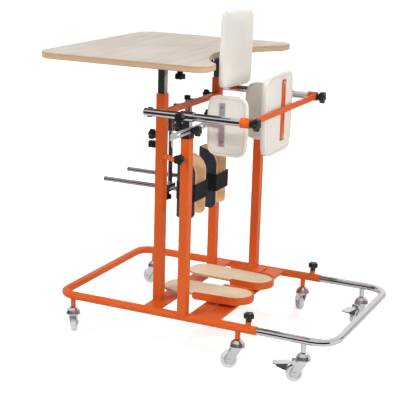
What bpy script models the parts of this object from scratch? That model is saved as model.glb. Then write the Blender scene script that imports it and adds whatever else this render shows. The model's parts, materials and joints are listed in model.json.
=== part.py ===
"""Standing table: a child's standing frame with a table, as separate pieces.

Metres, +Z up. X runs from the front bar of the base to the rear gate, and the near side is -Y.
Places along X are measured from the front bar. A parent empty shifts them all at the end, so that
the origin lies on the floor, at the middle of the overall box.
"""
import math

import bmesh
import bpy
from mathutils import Matrix, Vector

# Clearances and joining
FIT = 0.0003
WELD = 0.00001
BITE = 0.001

# Base tube, its rails and the rear extension
RAIL_HALF = 0.300
RAIL_Z = 0.137
TUBE_R = 0.014
TUBE_WALL = 0.0012
FRONT_BEND = 0.050
RAIL_END = 0.735
EXTENSION_INSERT = 0.200
EXTENSION_IN = 0.050
REAR_BAR = 0.988
REAR_BEND = 0.072
LOCK_X = 0.703
LOCK_BOSS_R = 0.0095
LOCK_BOSS_TOP = 0.164

# Casters
STEM_FRONT = 0.051
STEM_MID = 0.668
STEM_REAR = 0.894
STEM_R = 0.0087
KINGPIN_R = 0.005
KINGPIN_LENGTH = 0.016
DOME_R = 0.0255
DOME_TOP = 0.098
DOME_BOTTOM = 0.0705
DOME_LIP = 0.005
WHEEL_R = 0.028
WHEEL_WIDTH = 0.020
WHEEL_SHOULDER = 0.003
WHEEL_DISH_R = 0.020
WHEEL_DISH = 0.003
WHEEL_SIDES = 16
AXLE_R = 0.004
AXLE_NUT_R = 0.0062
AXLE_NUT = 0.002
TRAIL = 0.026
CHEEK = 0.0022
CHEEK_GAP = 0.0015
CHEEK_TOP_HALF = 0.017
CHEEK_END_R = 0.010
CHEEK_SHOULDER_R = 0.008
CHEEK_HEEL_R = 0.009
CHEEK_TOE = 0.008
CHEEK_TOE_R = 0.006
PEDAL_PIVOT_X = 0.028
PEDAL_RISE = 0.0365
PEDAL_PIVOT_Z = WHEEL_R + PEDAL_RISE
PEDAL_EAR_R = 0.008
PEDAL_BARREL_R = 0.0045
PEDAL_PIN_R = 0.002
PEDAL_REACH = 0.068
PEDAL_WIDTH = 0.034
PEDAL_THICK = 0.0025
PEDAL_SLOPE = math.radians(3.0)
PEDAL_NECK = 0.016
PEDAL_NECK_R = 0.002
PEDAL_TIP_R = 0.010
SKIRT = 0.002
SKIRT_TIP = 0.007
SHOE_X = WHEEL_R
SHOE_THICK = 0.004
SHOE_DROP = 0.021
CASTER_YAW = {
    "near_front": math.radians(115),
    "far_front": math.radians(160),
    "near_mid": math.radians(205),
    "far_mid": math.radians(128),
    "near_rear": math.radians(205),
    "far_rear": math.radians(250),
}

# Crossmembers on the base
STRIP_THICK = 0.008
STRIP_TOP = 0.149
TOE_STRIP_X = 0.352
TOE_STRIP_WIDTH = 0.060
HEEL_STRIP_X = 0.544
HEEL_STRIP_WIDTH = 0.106
SLOT_X = 0.532
SLOT_WIDTH = 0.009
SLOT_END_R = 0.004
SLOT_INNER = 0.030
SLOT_TO_RAIL = 0.018

# Posts and the square legs that slide in them
POST = 0.030
POST_WALL = 0.003
POST_FRONT_X = 0.337
POST_FRONT_Y = 0.2155
POST_FRONT_TOP = 0.853
POST_REAR_X = 0.470
POST_REAR_TOP = 0.736
POST_REAR_FOOT = 0.006
COLLAR = 0.033
COLLAR_HEIGHT = 0.015
LINK_Z = 0.6495
LINK_HEIGHT = 0.014
LINK_THICK = 0.010
BOSS_R = 0.009
BOSS = 0.008
BORE_SPARE = 0.010
TABLE_LOCK_Z = 0.785
HIP_LOCK_Z = 0.674
HIP_LOCK_X = 0.4655
HIP_BOSS = 0.014
POST_LUG_LOW = 0.672
POST_LUG_HIGH = 0.693
POST_LUG_WIDTH = 0.018
POST_LUG_REACH = 0.030
POST_KNOB_Z = 0.7147

# Front crossbar and the sleeves of the knee poles
CROSSBAR_Z = 0.789
CROSSBAR_HEIGHT = 0.016
CROSSBAR_THICK = 0.020
SLEEVE_R = 0.0125
SLEEVE_LOW = 0.700
SLEEVE_HIGH = 0.745
HANGER_WIDTH = 0.016
HANGER_THICK = 0.004
HANGER_FOOT = 0.012

# Star knobs
KNOB_R = 0.017
KNOB_WAVE = 0.0022
KNOB_LOBES = 5
KNOB_POINTS = 4
KNOB_HUB_R = 0.009
KNOB_HUB = 0.012
KNOB_HEAD = 0.016
KNOB_EDGE = 0.003
KNOB_SINK = 0.0035
STUD_R = 0.004
THIN_STUD_R = 0.003

# Table top, its carriage and the chest pad
TABLE_TOP_Z = 0.975
TABLE_THICK = 0.020
TABLE_FRONT = -0.048
TABLE_REAR = 0.557
TABLE_HALF = 0.375
TABLE_FRONT_CORNER = 0.060
TABLE_REAR_CORNER = 0.042
TABLE_TIP_CORNER = 0.015
TABLE_TIP = 0.088
TABLE_EDGE = 0.0015
CUT_DEPTH_X = 0.440
LEG_INSERT = 0.250
CARRIAGE_FRONT = 0.185
CARRIAGE_REAR = 0.445
CARRIAGE_WIDTH = 0.040
CARRIAGE_THICK = 0.005
CARRIAGE_BAR = 0.025
DEPTH_KNOB_X = 0.398
DEPTH_SPACER = 0.016
DEPTH_SPACER_R = 0.008
CHEST_PAD_BACK = 0.486
CHEST_PAD_THICK = 0.032
CHEST_PAD_WIDTH = 0.222
CHEST_PAD_CORNER = 0.024
CHEST_PAD_LEAN = math.radians(2.5)
CHEST_PAD_LOW = 0.865
CHEST_PAD_HIGH = 1.117
CHEST_BAR_FRONT = 0.372
CHEST_BAR_WIDTH = 0.030
CHEST_BAR_THICK = 0.005
CHEST_STRIP_LOW = 0.905
CHEST_STRIP_HIGH = 1.070
CHEST_KNOB_X = 0.405

# Hip frame: legs, side tubes, gate and rear pad
HIP_INSERT = 0.200
SIDE_TUBE_R = 0.0125
SIDE_TUBE_Z = 0.804
SIDE_TUBE_FRONT = 0.320
SIDE_TUBE_REAR = 0.672
RING_R = 0.0165
RING_FRONT = 0.448
RING_REAR = 0.492
RING_KNOB_X = 0.459
LEG_KNOB_RISE = 0.018
GATE_SLEEVE_R = 0.016
GATE_SLEEVE_FRONT = 0.652
GATE_SLEEVE_SPARE = 0.002
GATE_BAR_X = 0.6775
GATE_BAR_THICK = 0.006
GATE_BAR_HEIGHT = 0.020
REAR_STRIP_THICK = 0.004
REAR_STRIP_WIDTH = 0.026
REAR_STRIP_LOW = 0.700
REAR_STRIP_HIGH = 0.902
REAR_PAD_TRAVEL = 0.040
REAR_PAD_THICK = 0.032
REAR_PAD_WIDTH = 0.216
REAR_PAD_Y = -0.024
REAR_STRIP_Y = -0.006
REAR_PAD_LOW = 0.652
REAR_PAD_HIGH = 0.921
BOLT_R = 0.006
BOLT_HEAD = 0.0025
BOLT_INSET = 0.014

# Hip arms and pads
ARM_THICK = 0.004
ARM_HEIGHT = 0.020
ARM_RISE = 0.012
ARM_OVERHANG = 0.149
ARM_IN = 0.015
ARM_OUT = 0.040
ARM_SLOT = 0.007
ARM_SLOT_IN = 0.088
ARM_SLOT_OUT = 0.102
ARM_REACH = 0.538
HIP_PAD_OUTER = 0.163
HIP_PAD_THICK = 0.030
HIP_PAD_FRONT = 0.472
HIP_PAD_REAR = 0.618
HIP_PAD_LOW = 0.655
HIP_PAD_HIGH = 0.859
HIP_STRIP_WIDTH = 0.020
HIP_STRIP_THICK = 0.003
HIP_STRIP_DROP = 0.073
HIP_STRIP_RISE = 0.069

# Pads
PAD_CORNER = 0.034
PAD_CROWN = 0.007
PAD_DRAW = 0.0025
PAD_SEAM = 0.0012

# Knee poles, rods, cups and liners
POLE_R = 0.008
POLE_X = 0.293
POLE_Y = 0.061
POLE_BOTTOM = 0.495
POLE_TOP_NEAR = 0.782
POLE_TOP_FAR = 0.791
CAPPED_POLE = "far"
CAP_R = 0.0105
CAP_HEIGHT = 0.013
ROD_Y = 0.085
ROD_Z = 0.5055
ROD_FRONT = 0.051
CLAMP_LENGTH = 0.030
CLAMP_HEIGHT = 0.025
CLAMP_EDGE = 0.0125
CUP_FRONT = 0.345
CUP_REAR = 0.424
CUP_LOW = 0.417
CUP_HIGH = 0.633
CUP_HALF = 0.048
CUP_WALL = 0.007
CUP_BEND = 0.028
CUP_ARCH_TOP = 0.060
CUP_ARCH_LOW = 0.022
FLANGE_R = 0.018
FLANGE_THICK = 0.004
LINER_THICK = 0.004
LINER_INSET = 0.003
STRAP_THICK = 0.002
STRAP_LOW = 0.482
STRAP_HIGH = 0.542

# Foot plates and heel rims
FOOT_Y_NEAR = 0.127
FOOT_Y_FAR = 0.058
FOOT_TURN = math.radians(3.0)
FOOT_FRONT = 0.325
FOOT_REAR = 0.641
FOOT_HALF = 0.059
FOOT_TOP = 0.183
FOOT_THICK = 0.008
TOE_CORNER = 0.050
RIM_FRONT_OUTER = 0.447
RIM_FRONT_INNER = 0.508
RIM_THICK = 0.003
RIM_HEIGHT = 0.026
RIM_PROUD = 0.005
RIM_NOSE_R = 0.012
FLOOR_PLATE = 0.003
PEDESTAL_R = 0.020
FOOT_KNOB_DROP = 0.010

SIDES = {"near": -1.0, "far": 1.0}
LEG = POST - 2 * POST_WALL - 2 * FIT
BORE = POST - 2 * POST_WALL
EXTENSION_R = TUBE_R - TUBE_WALL - FIT
TABLE_BOTTOM = TABLE_TOP_Z - TABLE_THICK
ARM_Z = POST_REAR_TOP + COLLAR_HEIGHT + ARM_RISE
POLE_TOP = {"near": POLE_TOP_NEAR, "far": POLE_TOP_FAR}
FOOT_Y = {"near": -FOOT_Y_NEAR, "far": FOOT_Y_FAR}
X_MIDDLE = (TABLE_FRONT + REAR_BAR + EXTENSION_R) / 2


# Scene set-up
for old in list(bpy.data.objects):
    bpy.data.objects.remove(old, do_unlink=True)
PARTS = bpy.data.collections.new("standing_table")
SHAPING = bpy.data.collections.new("shaping")
bpy.context.scene.collection.children.link(PARTS)
bpy.context.scene.collection.children.link(SHAPING)
ORIGIN = bpy.data.objects.new("floor_origin", None)
ORIGIN.location.x = -X_MIDDLE
PARTS.objects.link(ORIGIN)


def linear(value):
    """Turn one sRGB channel (0 to 255) into the linear value that a shader takes."""
    share = value / 255
    return share / 12.92 if share <= 0.04045 else ((share + 0.055) / 1.055) ** 2.4


def finish(name, red, green, blue, roughness, metallic=0.0):
    material = bpy.data.materials.new(name)
    material.use_nodes = True
    shader = material.node_tree.nodes["Principled BSDF"]
    shader.inputs["Base Color"].default_value = (linear(red), linear(green), linear(blue), 1.0)
    shader.inputs["Roughness"].default_value = roughness
    shader.inputs["Metallic"].default_value = metallic
    return material


ORANGE = finish("orange_powder_coat", 226, 92, 34, 0.35)
CHROME = finish("chrome", 205, 205, 208, 0.12, 1.0)
ZINC = finish("zinc_plate", 190, 190, 194, 0.30, 1.0)
BLACK = finish("black_plastic", 28, 28, 30, 0.45)
GREY = finish("grey_wheel_plastic", 196, 197, 199, 0.45)
OAK = finish("oak_laminate", 216, 204, 188, 0.45)
BIRCH = finish("birch_ply", 228, 205, 175, 0.50)
TAN = finish("tan_ply", 210, 160, 112, 0.45)
VINYL = finish("cream_vinyl", 230, 226, 217, 0.50)
FOAM = finish("black_foam", 42, 43, 47, 0.85)


# Shaping tools
def link(name, data):
    obj = bpy.data.objects.new(name, data)
    SHAPING.objects.link(obj)
    return obj


def solid(bm, name="solid"):
    mesh = bpy.data.meshes.new(name)
    bm.to_mesh(mesh)
    bm.free()
    return link(name, mesh)


def meshed(obj):
    """Replace a curve, or a mesh with modifiers, by its evaluated mesh with the seams welded."""
    bpy.context.view_layer.update()
    graph = bpy.context.evaluated_depsgraph_get()
    mesh = bpy.data.meshes.new_from_object(obj.evaluated_get(graph))
    bm = bmesh.new()
    bm.from_mesh(mesh)
    bmesh.ops.remove_doubles(bm, verts=bm.verts, dist=WELD)
    bmesh.ops.dissolve_degenerate(bm, edges=bm.edges, dist=WELD)
    bmesh.ops.recalc_face_normals(bm, faces=bm.faces)
    bm.to_mesh(mesh)
    bm.free()
    mesh.transform(obj.matrix_world)
    result = link(obj.name, mesh)
    bpy.data.objects.remove(obj)
    return result


def placed(obj, matrix):
    obj.data.transform(matrix)
    return obj


def block(x, y, z):
    """Box between two places along each axis."""
    low = Vector((min(x), min(y), min(z)))
    high = Vector((max(x), max(y), max(z)))
    bm = bmesh.new()
    bmesh.ops.create_cube(bm, size=1.0)
    size = Matrix.Diagonal((*(high - low), 1.0))
    bmesh.ops.transform(bm, matrix=Matrix.Translation((low + high) / 2) @ size, verts=bm.verts)
    return solid(bm)


def toward(axis):
    """Rotation that takes +Z to the given direction."""
    return Vector((0, 0, 1)).rotation_difference(Vector(axis)).to_matrix().to_4x4()


def rod(start, end, radius, sides=16):
    start, end = Vector(start), Vector(end)
    bm = bmesh.new()
    bmesh.ops.create_cone(bm, cap_ends=True, segments=sides, radius1=radius, radius2=radius,
                          depth=(end - start).length)
    bmesh.ops.transform(bm, matrix=Matrix.Translation((start + end) / 2) @ toward(end - start), verts=bm.verts)
    return solid(bm)


def drill(start, end, radius, sides=16):
    """Cutter whose flats, not its corners, stand at the radius, so that a round fits inside."""
    return rod(start, end, radius / math.cos(math.pi / sides), sides)


def arc(centre, radius, start, end, steps):
    """Points on an arc between two angles in degrees."""
    angles = [math.radians(start + (end - start) * step / steps) for step in range(steps + 1)]
    return [(centre[0] + radius * math.cos(a), centre[1] + radius * math.sin(a)) for a in angles]


def rounded(corners, steps=5):
    """Outline through corners (x, y, radius), where each corner becomes an arc."""
    outline = []
    for index, (x, y, radius) in enumerate(corners):
        here = Vector((x, y))
        back = (Vector(corners[index - 1][:2]) - here).normalized()
        ahead = (Vector(corners[(index + 1) % len(corners)][:2]) - here).normalized()
        if radius == 0:
            outline.append((x, y))
            continue
        half = back.angle(ahead) / 2
        centre = here + (back + ahead).normalized() * radius / math.sin(half)
        start = here + back * radius / math.tan(half) - centre
        end = here + ahead * radius / math.tan(half) - centre
        first = math.atan2(start.y, start.x)
        sweep = math.remainder(math.atan2(end.y, end.x) - first, 2 * math.pi)
        turn = [first + sweep * step / steps for step in range(steps + 1)]
        outline += [(centre.x + radius * math.cos(a), centre.y + radius * math.sin(a)) for a in turn]
    return outline


def spline_through(curve, points, closed):
    spline = curve.splines.new("POLY")
    spline.points.add(len(points) - 1)
    for knot, place in zip(spline.points, points):
        knot.co = (*place, 1.0)
    spline.use_cyclic_u = closed


def pipe(points, radius, resolution=6):
    """Round tube or bar along a route."""
    curve = bpy.data.curves.new("pipe", "CURVE")
    curve.dimensions = "3D"
    curve.bevel_depth = radius
    curve.bevel_resolution = resolution
    curve.use_fill_caps = True
    spline_through(curve, points, False)
    return meshed(link("pipe", curve))


def sheet(outline, low, high):
    """Flat outline in plan, filled between two heights."""
    curve = bpy.data.curves.new("sheet", "CURVE")
    curve.dimensions = "2D"
    curve.fill_mode = "BOTH"
    curve.extrude = (high - low) / 2
    spline_through(curve, [(x, y, 0.0) for x, y in outline], True)
    obj = link("sheet", curve)
    obj.location.z = (low + high) / 2
    return meshed(obj)


def upright(outline, low, high):
    """Outline in the XZ plane, filled between two places along Y."""
    return placed(sheet(outline, -high, -low), Matrix.Rotation(math.pi / 2, 4, "X"))


def turned(profile, sides, closed=False):
    """Turn a profile of (radius, height) points round Z."""
    count = len(profile)
    mesh = bpy.data.meshes.new("turned")
    edges = [(i, i + 1) for i in range(count - 1)]
    if closed:
        edges.append((count - 1, 0))
    mesh.from_pydata([(radius, 0.0, height) for radius, height in profile], edges, [])
    obj = link("turned", mesh)
    screw = obj.modifiers.new("screw", "SCREW")
    screw.steps = sides
    screw.render_steps = sides
    screw.use_merge_vertices = True
    screw.merge_threshold = WELD
    return meshed(obj)


def combine(base, others, operation):
    for other in others:
        boolean = base.modifiers.new(operation.lower(), "BOOLEAN")
        boolean.operation = operation
        boolean.object = other
    result = meshed(base)
    for other in others:
        bpy.data.objects.remove(other)
    return result


def fused(base, *others):
    return combine(base, others, "UNION")


def cut(base, *others):
    return combine(base, others, "DIFFERENCE")


def softened(obj, width, segments=1, angle=60):
    bevel = obj.modifiers.new("bevel", "BEVEL")
    bevel.width = width
    bevel.segments = segments
    bevel.limit_method = "ANGLE"
    bevel.angle_limit = math.radians(angle)
    return meshed(obj)


def piece(name, obj, material, origin=(0.0, 0.0, 0.0)):
    """Name a finished solid, put its origin on its joint and hang it on the floor origin."""
    obj.name = name
    obj.data.name = name
    obj.data.transform(Matrix.Translation(-Vector(origin)))
    obj.location = origin
    obj.data.materials.clear()
    obj.data.materials.append(material)
    obj.data.shade_smooth()
    obj.data.set_sharp_from_angle(angle=math.radians(35))
    SHAPING.objects.unlink(obj)
    PARTS.objects.link(obj)
    obj.parent = ORIGIN
    return obj


# Star knobs
def star_outline():
    count = KNOB_LOBES * KNOB_POINTS
    outline = []
    for step in range(count):
        angle = 2 * math.pi * step / count
        radius = KNOB_R - KNOB_WAVE * (1 - math.cos(KNOB_LOBES * angle))
        outline.append((radius * math.cos(angle), radius * math.sin(angle)))
    return outline


def star_knob(seat, axis, stud, stud_r=STUD_R):
    """Star knob that stands on a seat and points along the axis, with its stud running back."""
    head = softened(sheet(star_outline(), KNOB_HUB, KNOB_HUB + KNOB_HEAD), KNOB_EDGE)
    hub = rod((0, 0, 0), (0, 0, KNOB_HUB + BITE), KNOB_HUB_R, 12)
    screw = rod((0, 0, -stud), (0, 0, BITE), stud_r, 8)
    return placed(fused(head, hub, screw), Matrix.Translation(seat) @ toward(axis))


def fixed_knob(seat, axis, sink):
    """Plainer star knob, made in one with the piece into which its hub sinks."""
    head = sheet(star_outline(), KNOB_HUB, KNOB_HUB + KNOB_HEAD)
    hub = rod((0, 0, -sink), (0, 0, KNOB_HUB + BITE), KNOB_HUB_R, 10)
    return placed(fused(head, hub), Matrix.Translation(seat) @ toward(axis))


# Base
def rail_route(front, bar, bend, steps=6):
    """Route of a U-shaped tube in plan: near leg, the bar across, far leg."""
    inward = 1.0 if front > bar else -1.0
    middle = bar + inward * bend
    quarter = 180 if inward > 0 else 0
    side = RAIL_HALF - bend
    near = arc((middle, -side), bend, 270, 180 if inward > 0 else 360, steps)
    far = arc((middle, side), bend, quarter, 90, steps)
    plan = [(front, -RAIL_HALF)] + near + far + [(front, RAIL_HALF)]
    return [(x, y, RAIL_Z) for x, y in plan]


def stem(x, y):
    return rod((x, y, RAIL_Z), (x, y, DOME_TOP + FIT), STEM_R)


def stem_bore(x, y):
    return drill((x, y, DOME_TOP - BITE), (x, y, DOME_TOP + KINGPIN_LENGTH + BITE), KINGPIN_R + FIT, 12)


def rail_cutter():
    """Both rails, a fit larger, to cope what is welded to them."""
    return [drill((FRONT_BEND, side * RAIL_HALF, RAIL_Z), (RAIL_END, side * RAIL_HALF, RAIL_Z), TUBE_R + FIT, 24)
            for side in SIDES.values()]


def build_base_tube():
    tube = pipe(rail_route(RAIL_END, 0.0, FRONT_BEND), TUBE_R)
    added = []
    removed = []
    deepest = RAIL_END - EXTENSION_INSERT - EXTENSION_IN - BORE_SPARE
    for side in SIDES.values():
        y = side * RAIL_HALF
        for x in (STEM_FRONT, STEM_MID):
            added.append(stem(x, y))
            removed.append(stem_bore(x, y))
        added.append(rod((LOCK_X, y, RAIL_Z), (LOCK_X, y, LOCK_BOSS_TOP), LOCK_BOSS_R))
        removed.append(drill((LOCK_X, y, RAIL_Z), (LOCK_X, y, LOCK_BOSS_TOP + BITE), STUD_R + FIT, 12))
        removed.append(drill((deepest, y, RAIL_Z), (RAIL_END + BITE, y, RAIL_Z), EXTENSION_R + FIT))
    piece("base_tube", cut(fused(tube, *added), *removed), ORANGE)


def build_rear_extension():
    front = RAIL_END - EXTENSION_INSERT
    tube = pipe(rail_route(front, REAR_BAR, REAR_BEND), EXTENSION_R)
    stems = [stem(STEM_REAR, side * RAIL_HALF) for side in SIDES.values()]
    bores = [stem_bore(STEM_REAR, side * RAIL_HALF) for side in SIDES.values()]
    piece("rear_extension", cut(fused(tube, *stems), *bores), CHROME, (REAR_BAR, 0.0, RAIL_Z))
    for name, side in SIDES.items():
        seat = (LOCK_X, side * RAIL_HALF, LOCK_BOSS_TOP + FIT)
        stud = seat[2] - (RAIL_Z + EXTENSION_R + FIT)
        piece(f"extension_knob_{name}", star_knob(seat, (0, 0, 1), stud), BLACK, seat)


def build_crossmembers():
    low = STRIP_TOP - STRIP_THICK
    reach = (-RAIL_HALF, RAIL_HALF)
    toe_half = TOE_STRIP_WIDTH / 2
    toe = block((TOE_STRIP_X - toe_half, TOE_STRIP_X + toe_half), reach, (low, STRIP_TOP))
    piece("toe_crossmember", cut(toe, *rail_cutter()), ORANGE)
    heel_half = HEEL_STRIP_WIDTH / 2
    heel = block((HEEL_STRIP_X - heel_half, HEEL_STRIP_X + heel_half), reach, (low, STRIP_TOP))
    half = SLOT_WIDTH / 2
    outer = RAIL_HALF - SLOT_TO_RAIL
    slots = []
    for side in SIDES.values():
        slot = rounded([(SLOT_X - half, SLOT_INNER, SLOT_END_R), (SLOT_X + half, SLOT_INNER, SLOT_END_R),
                        (SLOT_X + half, outer, SLOT_END_R), (SLOT_X - half, outer, SLOT_END_R)], 3)
        slots.append(sheet([(x, side * y) for x, y in slot], low - BITE, STRIP_TOP + BITE))
    piece("heel_crossmember", cut(heel, *rail_cutter(), *slots), ORANGE)


# Posts
def square(x, y, size, low, high):
    half = size / 2
    return block((x - half, x + half), (y - half, y + half), (low, high))


def build_front_posts():
    for name, side in SIDES.items():
        y = side * POST_FRONT_Y
        face = POST_FRONT_X - POST / 2
        post = square(POST_FRONT_X, y, POST, STRIP_TOP + FIT, POST_FRONT_TOP)
        boss = rod((face + BITE, y, TABLE_LOCK_Z), (face - BOSS, y, TABLE_LOCK_Z), BOSS_R, 12)
        bore = square(POST_FRONT_X, y, BORE, POST_FRONT_TOP - LEG_INSERT - BORE_SPARE, POST_FRONT_TOP + BITE)
        hole = drill((face - BOSS - BITE, y, TABLE_LOCK_Z), (POST_FRONT_X, y, TABLE_LOCK_Z), STUD_R + FIT, 12)
        lug = block((face - POST_LUG_REACH, face + BITE), (y - POST_LUG_WIDTH / 2, y + POST_LUG_WIDTH / 2),
                    (POST_LUG_LOW, POST_LUG_HIGH))
        knob = fixed_knob((face, y, POST_KNOB_Z), (-1, 0, 0), BITE)
        piece(f"post_front_{name}", cut(fused(post, boss, lug, knob), bore, hole), ORANGE)
        seat = (face - BOSS - FIT, y, TABLE_LOCK_Z)
        stud = POST_FRONT_X - LEG / 2 - FIT - seat[0]
        piece(f"table_height_knob_{name}", star_knob(seat, (-1, 0, 0), stud), BLACK, seat)


def link_bar(side):
    """Flat bar from the rear post to the front post, cut to stand against the front post."""
    rear = Vector((POST_REAR_X, side * RAIL_HALF, LINK_Z))
    front = Vector((POST_FRONT_X, side * POST_FRONT_Y, LINK_Z))
    run = front - rear
    bar = block((0.0, run.length), (-LINK_THICK / 2, LINK_THICK / 2), (-LINK_HEIGHT / 2, LINK_HEIGHT / 2))
    placed(bar, Matrix.Translation(rear) @ Matrix.Rotation(math.atan2(run.y, run.x), 4, "Z"))
    clear = square(POST_FRONT_X, side * POST_FRONT_Y, POST + 2 * FIT, LINK_Z - POST, LINK_Z + POST)
    return cut(bar, clear)


def build_rear_posts():
    for name, side in SIDES.items():
        y = side * RAIL_HALF
        face = y + side * POST / 2
        post = square(POST_REAR_X, y, POST, RAIL_Z + POST_REAR_FOOT, POST_REAR_TOP)
        collar = square(POST_REAR_X, y, COLLAR, POST_REAR_TOP - BITE, POST_REAR_TOP + COLLAR_HEIGHT)
        boss = rod((HIP_LOCK_X, face - side * BITE, HIP_LOCK_Z), (HIP_LOCK_X, face + side * HIP_BOSS, HIP_LOCK_Z),
                   BOSS_R, 12)
        bore = square(POST_REAR_X, y, BORE, POST_REAR_TOP - HIP_INSERT - BORE_SPARE,
                      POST_REAR_TOP + COLLAR_HEIGHT + BITE)
        hole = drill((HIP_LOCK_X, face + side * (HIP_BOSS + BITE), HIP_LOCK_Z), (HIP_LOCK_X, y, HIP_LOCK_Z),
                     STUD_R + FIT, 12)
        whole = fused(post, collar, boss, link_bar(side))
        piece(f"post_rear_{name}", cut(whole, bore, hole, *rail_cutter()), ORANGE)
        seat = (HIP_LOCK_X, face + side * (HIP_BOSS + FIT), HIP_LOCK_Z)
        stud = abs(seat[1] - y) - LEG / 2 - FIT
        piece(f"hip_height_knob_{name}", star_knob(seat, (0, side, 0), stud), BLACK, seat)


def build_front_crossbar():
    half = POST_FRONT_Y - POST / 2 - FIT
    face = POST_FRONT_X - CROSSBAR_THICK / 2
    top = CROSSBAR_Z + CROSSBAR_HEIGHT / 2
    bar = block((face, face + CROSSBAR_THICK), (-half, half), (top - CROSSBAR_HEIGHT, top))
    added = []
    removed = []
    hanger = POLE_X + SLEEVE_R - BITE
    knob_z = (SLEEVE_LOW + SLEEVE_HIGH) / 2
    for side in SIDES.values():
        y = side * POLE_Y
        width = (y - HANGER_WIDTH / 2, y + HANGER_WIDTH / 2)
        foot = (CROSSBAR_Z - HANGER_FOOT / 2, CROSSBAR_Z + HANGER_FOOT / 2)
        added.append(block((hanger, hanger + HANGER_THICK), width, (SLEEVE_LOW + BITE, foot[1])))
        added.append(block((hanger + BITE, face + BITE), width, foot))
        added.append(rod((POLE_X, y, SLEEVE_LOW), (POLE_X, y, SLEEVE_HIGH), SLEEVE_R))
        added.append(fixed_knob((POLE_X - SLEEVE_R, y, knob_z), (-1, 0, 0), KNOB_SINK))
        removed.append(drill((POLE_X, y, SLEEVE_LOW - BITE), (POLE_X, y, SLEEVE_HIGH + BITE), POLE_R + FIT))
    piece("front_crossbar", cut(fused(bar, *added), *removed), ORANGE)


# Casters
def cheek(side):
    """Fork side plate that tapers from the dome to the axle."""
    inner = WHEEL_WIDTH / 2 + CHEEK_GAP
    top = DOME_BOTTOM + BITE
    low = WHEEL_R - CHEEK_END_R
    outline = rounded([
        (-CHEEK_TOP_HALF, top, 0), (CHEEK_TOP_HALF, top, 0),
        (TRAIL + CHEEK_END_R, WHEEL_R + CHEEK_END_R, CHEEK_SHOULDER_R),
        (TRAIL + CHEEK_END_R, low, CHEEK_HEEL_R), (TRAIL - CHEEK_TOE, low, CHEEK_TOE_R)], 3)
    return upright(outline, *sorted((side * inner, side * (inner + CHEEK))))


def caster_fork(braked):
    """Dome, kingpin, cheeks and axle, with the swivel axis on Z and the wheel trailing along +X."""
    crown = DOME_TOP - DOME_BOTTOM - DOME_LIP
    dome = [(DOME_R * math.sin(a), DOME_BOTTOM + DOME_LIP + crown * math.cos(a))
            for a in (math.pi / 2 * step / 3 for step in range(4))]
    fork = turned(dome + [(DOME_R, DOME_BOTTOM), (0.0, DOME_BOTTOM)], 14)
    outside = WHEEL_WIDTH / 2 + CHEEK_GAP + CHEEK
    added = [rod((0, 0, DOME_TOP - DOME_LIP), (0, 0, DOME_TOP + KINGPIN_LENGTH), KINGPIN_R, 8)]
    for side in SIDES.values():
        added.append(cheek(side))
        added.append(rod((TRAIL, side * (outside - BITE), WHEEL_R), (TRAIL, side * (outside + AXLE_NUT), WHEEL_R),
                         AXLE_NUT_R, 6))
    added.append(rod((TRAIL, BITE - outside, WHEEL_R), (TRAIL, outside - BITE, WHEEL_R), AXLE_R, 8))
    if braked:
        pivot = (PEDAL_PIVOT_X, PEDAL_PIVOT_Z)
        for side in SIDES.values():
            added.append(rod((pivot[0], side * (outside - CHEEK), pivot[1]), (pivot[0], side * outside, pivot[1]),
                             PEDAL_EAR_R, 8))
        added.append(rod((pivot[0], BITE - outside, pivot[1]), (pivot[0], outside - BITE, pivot[1]), PEDAL_PIN_R, 8))
    return fused(fork, *added)


def caster_wheel():
    half = WHEEL_WIDTH / 2
    bore = (AXLE_R + FIT) / math.cos(math.pi / WHEEL_SIDES)
    web = half - WHEEL_DISH
    side = [(WHEEL_R - WHEEL_SHOULDER, half), (WHEEL_R, half - WHEEL_SHOULDER)]
    dish = [(bore, web), (WHEEL_DISH_R - WHEEL_DISH, web), (WHEEL_DISH_R, half)]
    mirrored = [(radius, -height) for radius, height in reversed(dish + side)]
    wheel = turned(side + mirrored + dish, WHEEL_SIDES, closed=True)
    return placed(wheel, Matrix.Translation((TRAIL, 0, WHEEL_R)) @ Matrix.Rotation(math.pi / 2, 4, "X"))


def brake_pedal():
    """Pressed lever on a cross pin, with side skirts and a shoe that meets the wheel's rear."""
    barrel = WHEEL_WIDTH / 2 + CHEEK_GAP - FIT
    neck = barrel - BITE
    half = PEDAL_WIDTH / 2
    wide = PEDAL_NECK + BITE
    paddle = rounded([(0.0, -neck, 0), (PEDAL_NECK, -neck, 0), (wide, -half, PEDAL_NECK_R),
                      (PEDAL_REACH, -half, PEDAL_TIP_R), (PEDAL_REACH, half, PEDAL_TIP_R),
                      (wide, half, PEDAL_NECK_R), (PEDAL_NECK, neck, 0), (0.0, neck, 0)], 3)
    lever = sheet(paddle, -PEDAL_THICK / 2, PEDAL_THICK / 2)
    tube = rod((0, -barrel, 0), (0, barrel, 0), PEDAL_BARREL_R, 12)
    shoe = block((SHOE_X, SHOE_X + SHOE_THICK), (-neck + BITE, neck - BITE), (-SHOE_DROP, 0))
    hole = drill((0, -barrel - BITE, 0), (0, barrel + BITE, 0), PEDAL_PIN_R + FIT, 12)
    profile = [(wide + PEDAL_NECK_R, 0.0), (SHOE_X, -SHOE_DROP), (SHOE_X + SHOE_THICK, -SHOE_DROP),
               (PEDAL_REACH - PEDAL_TIP_R, -SKIRT_TIP), (PEDAL_REACH - PEDAL_TIP_R, 0.0)]
    skirts = [upright(profile, *sorted((side * (half - BITE - SKIRT), side * (half - BITE)))) for side in SIDES.values()]
    pedal = cut(fused(lever, tube, shoe, *skirts), hole)
    tilt = Matrix.Translation((PEDAL_PIVOT_X, 0, PEDAL_PIVOT_Z)) @ Matrix.Rotation(PEDAL_SLOPE, 4, "Y")
    return placed(pedal, tilt)


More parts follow.
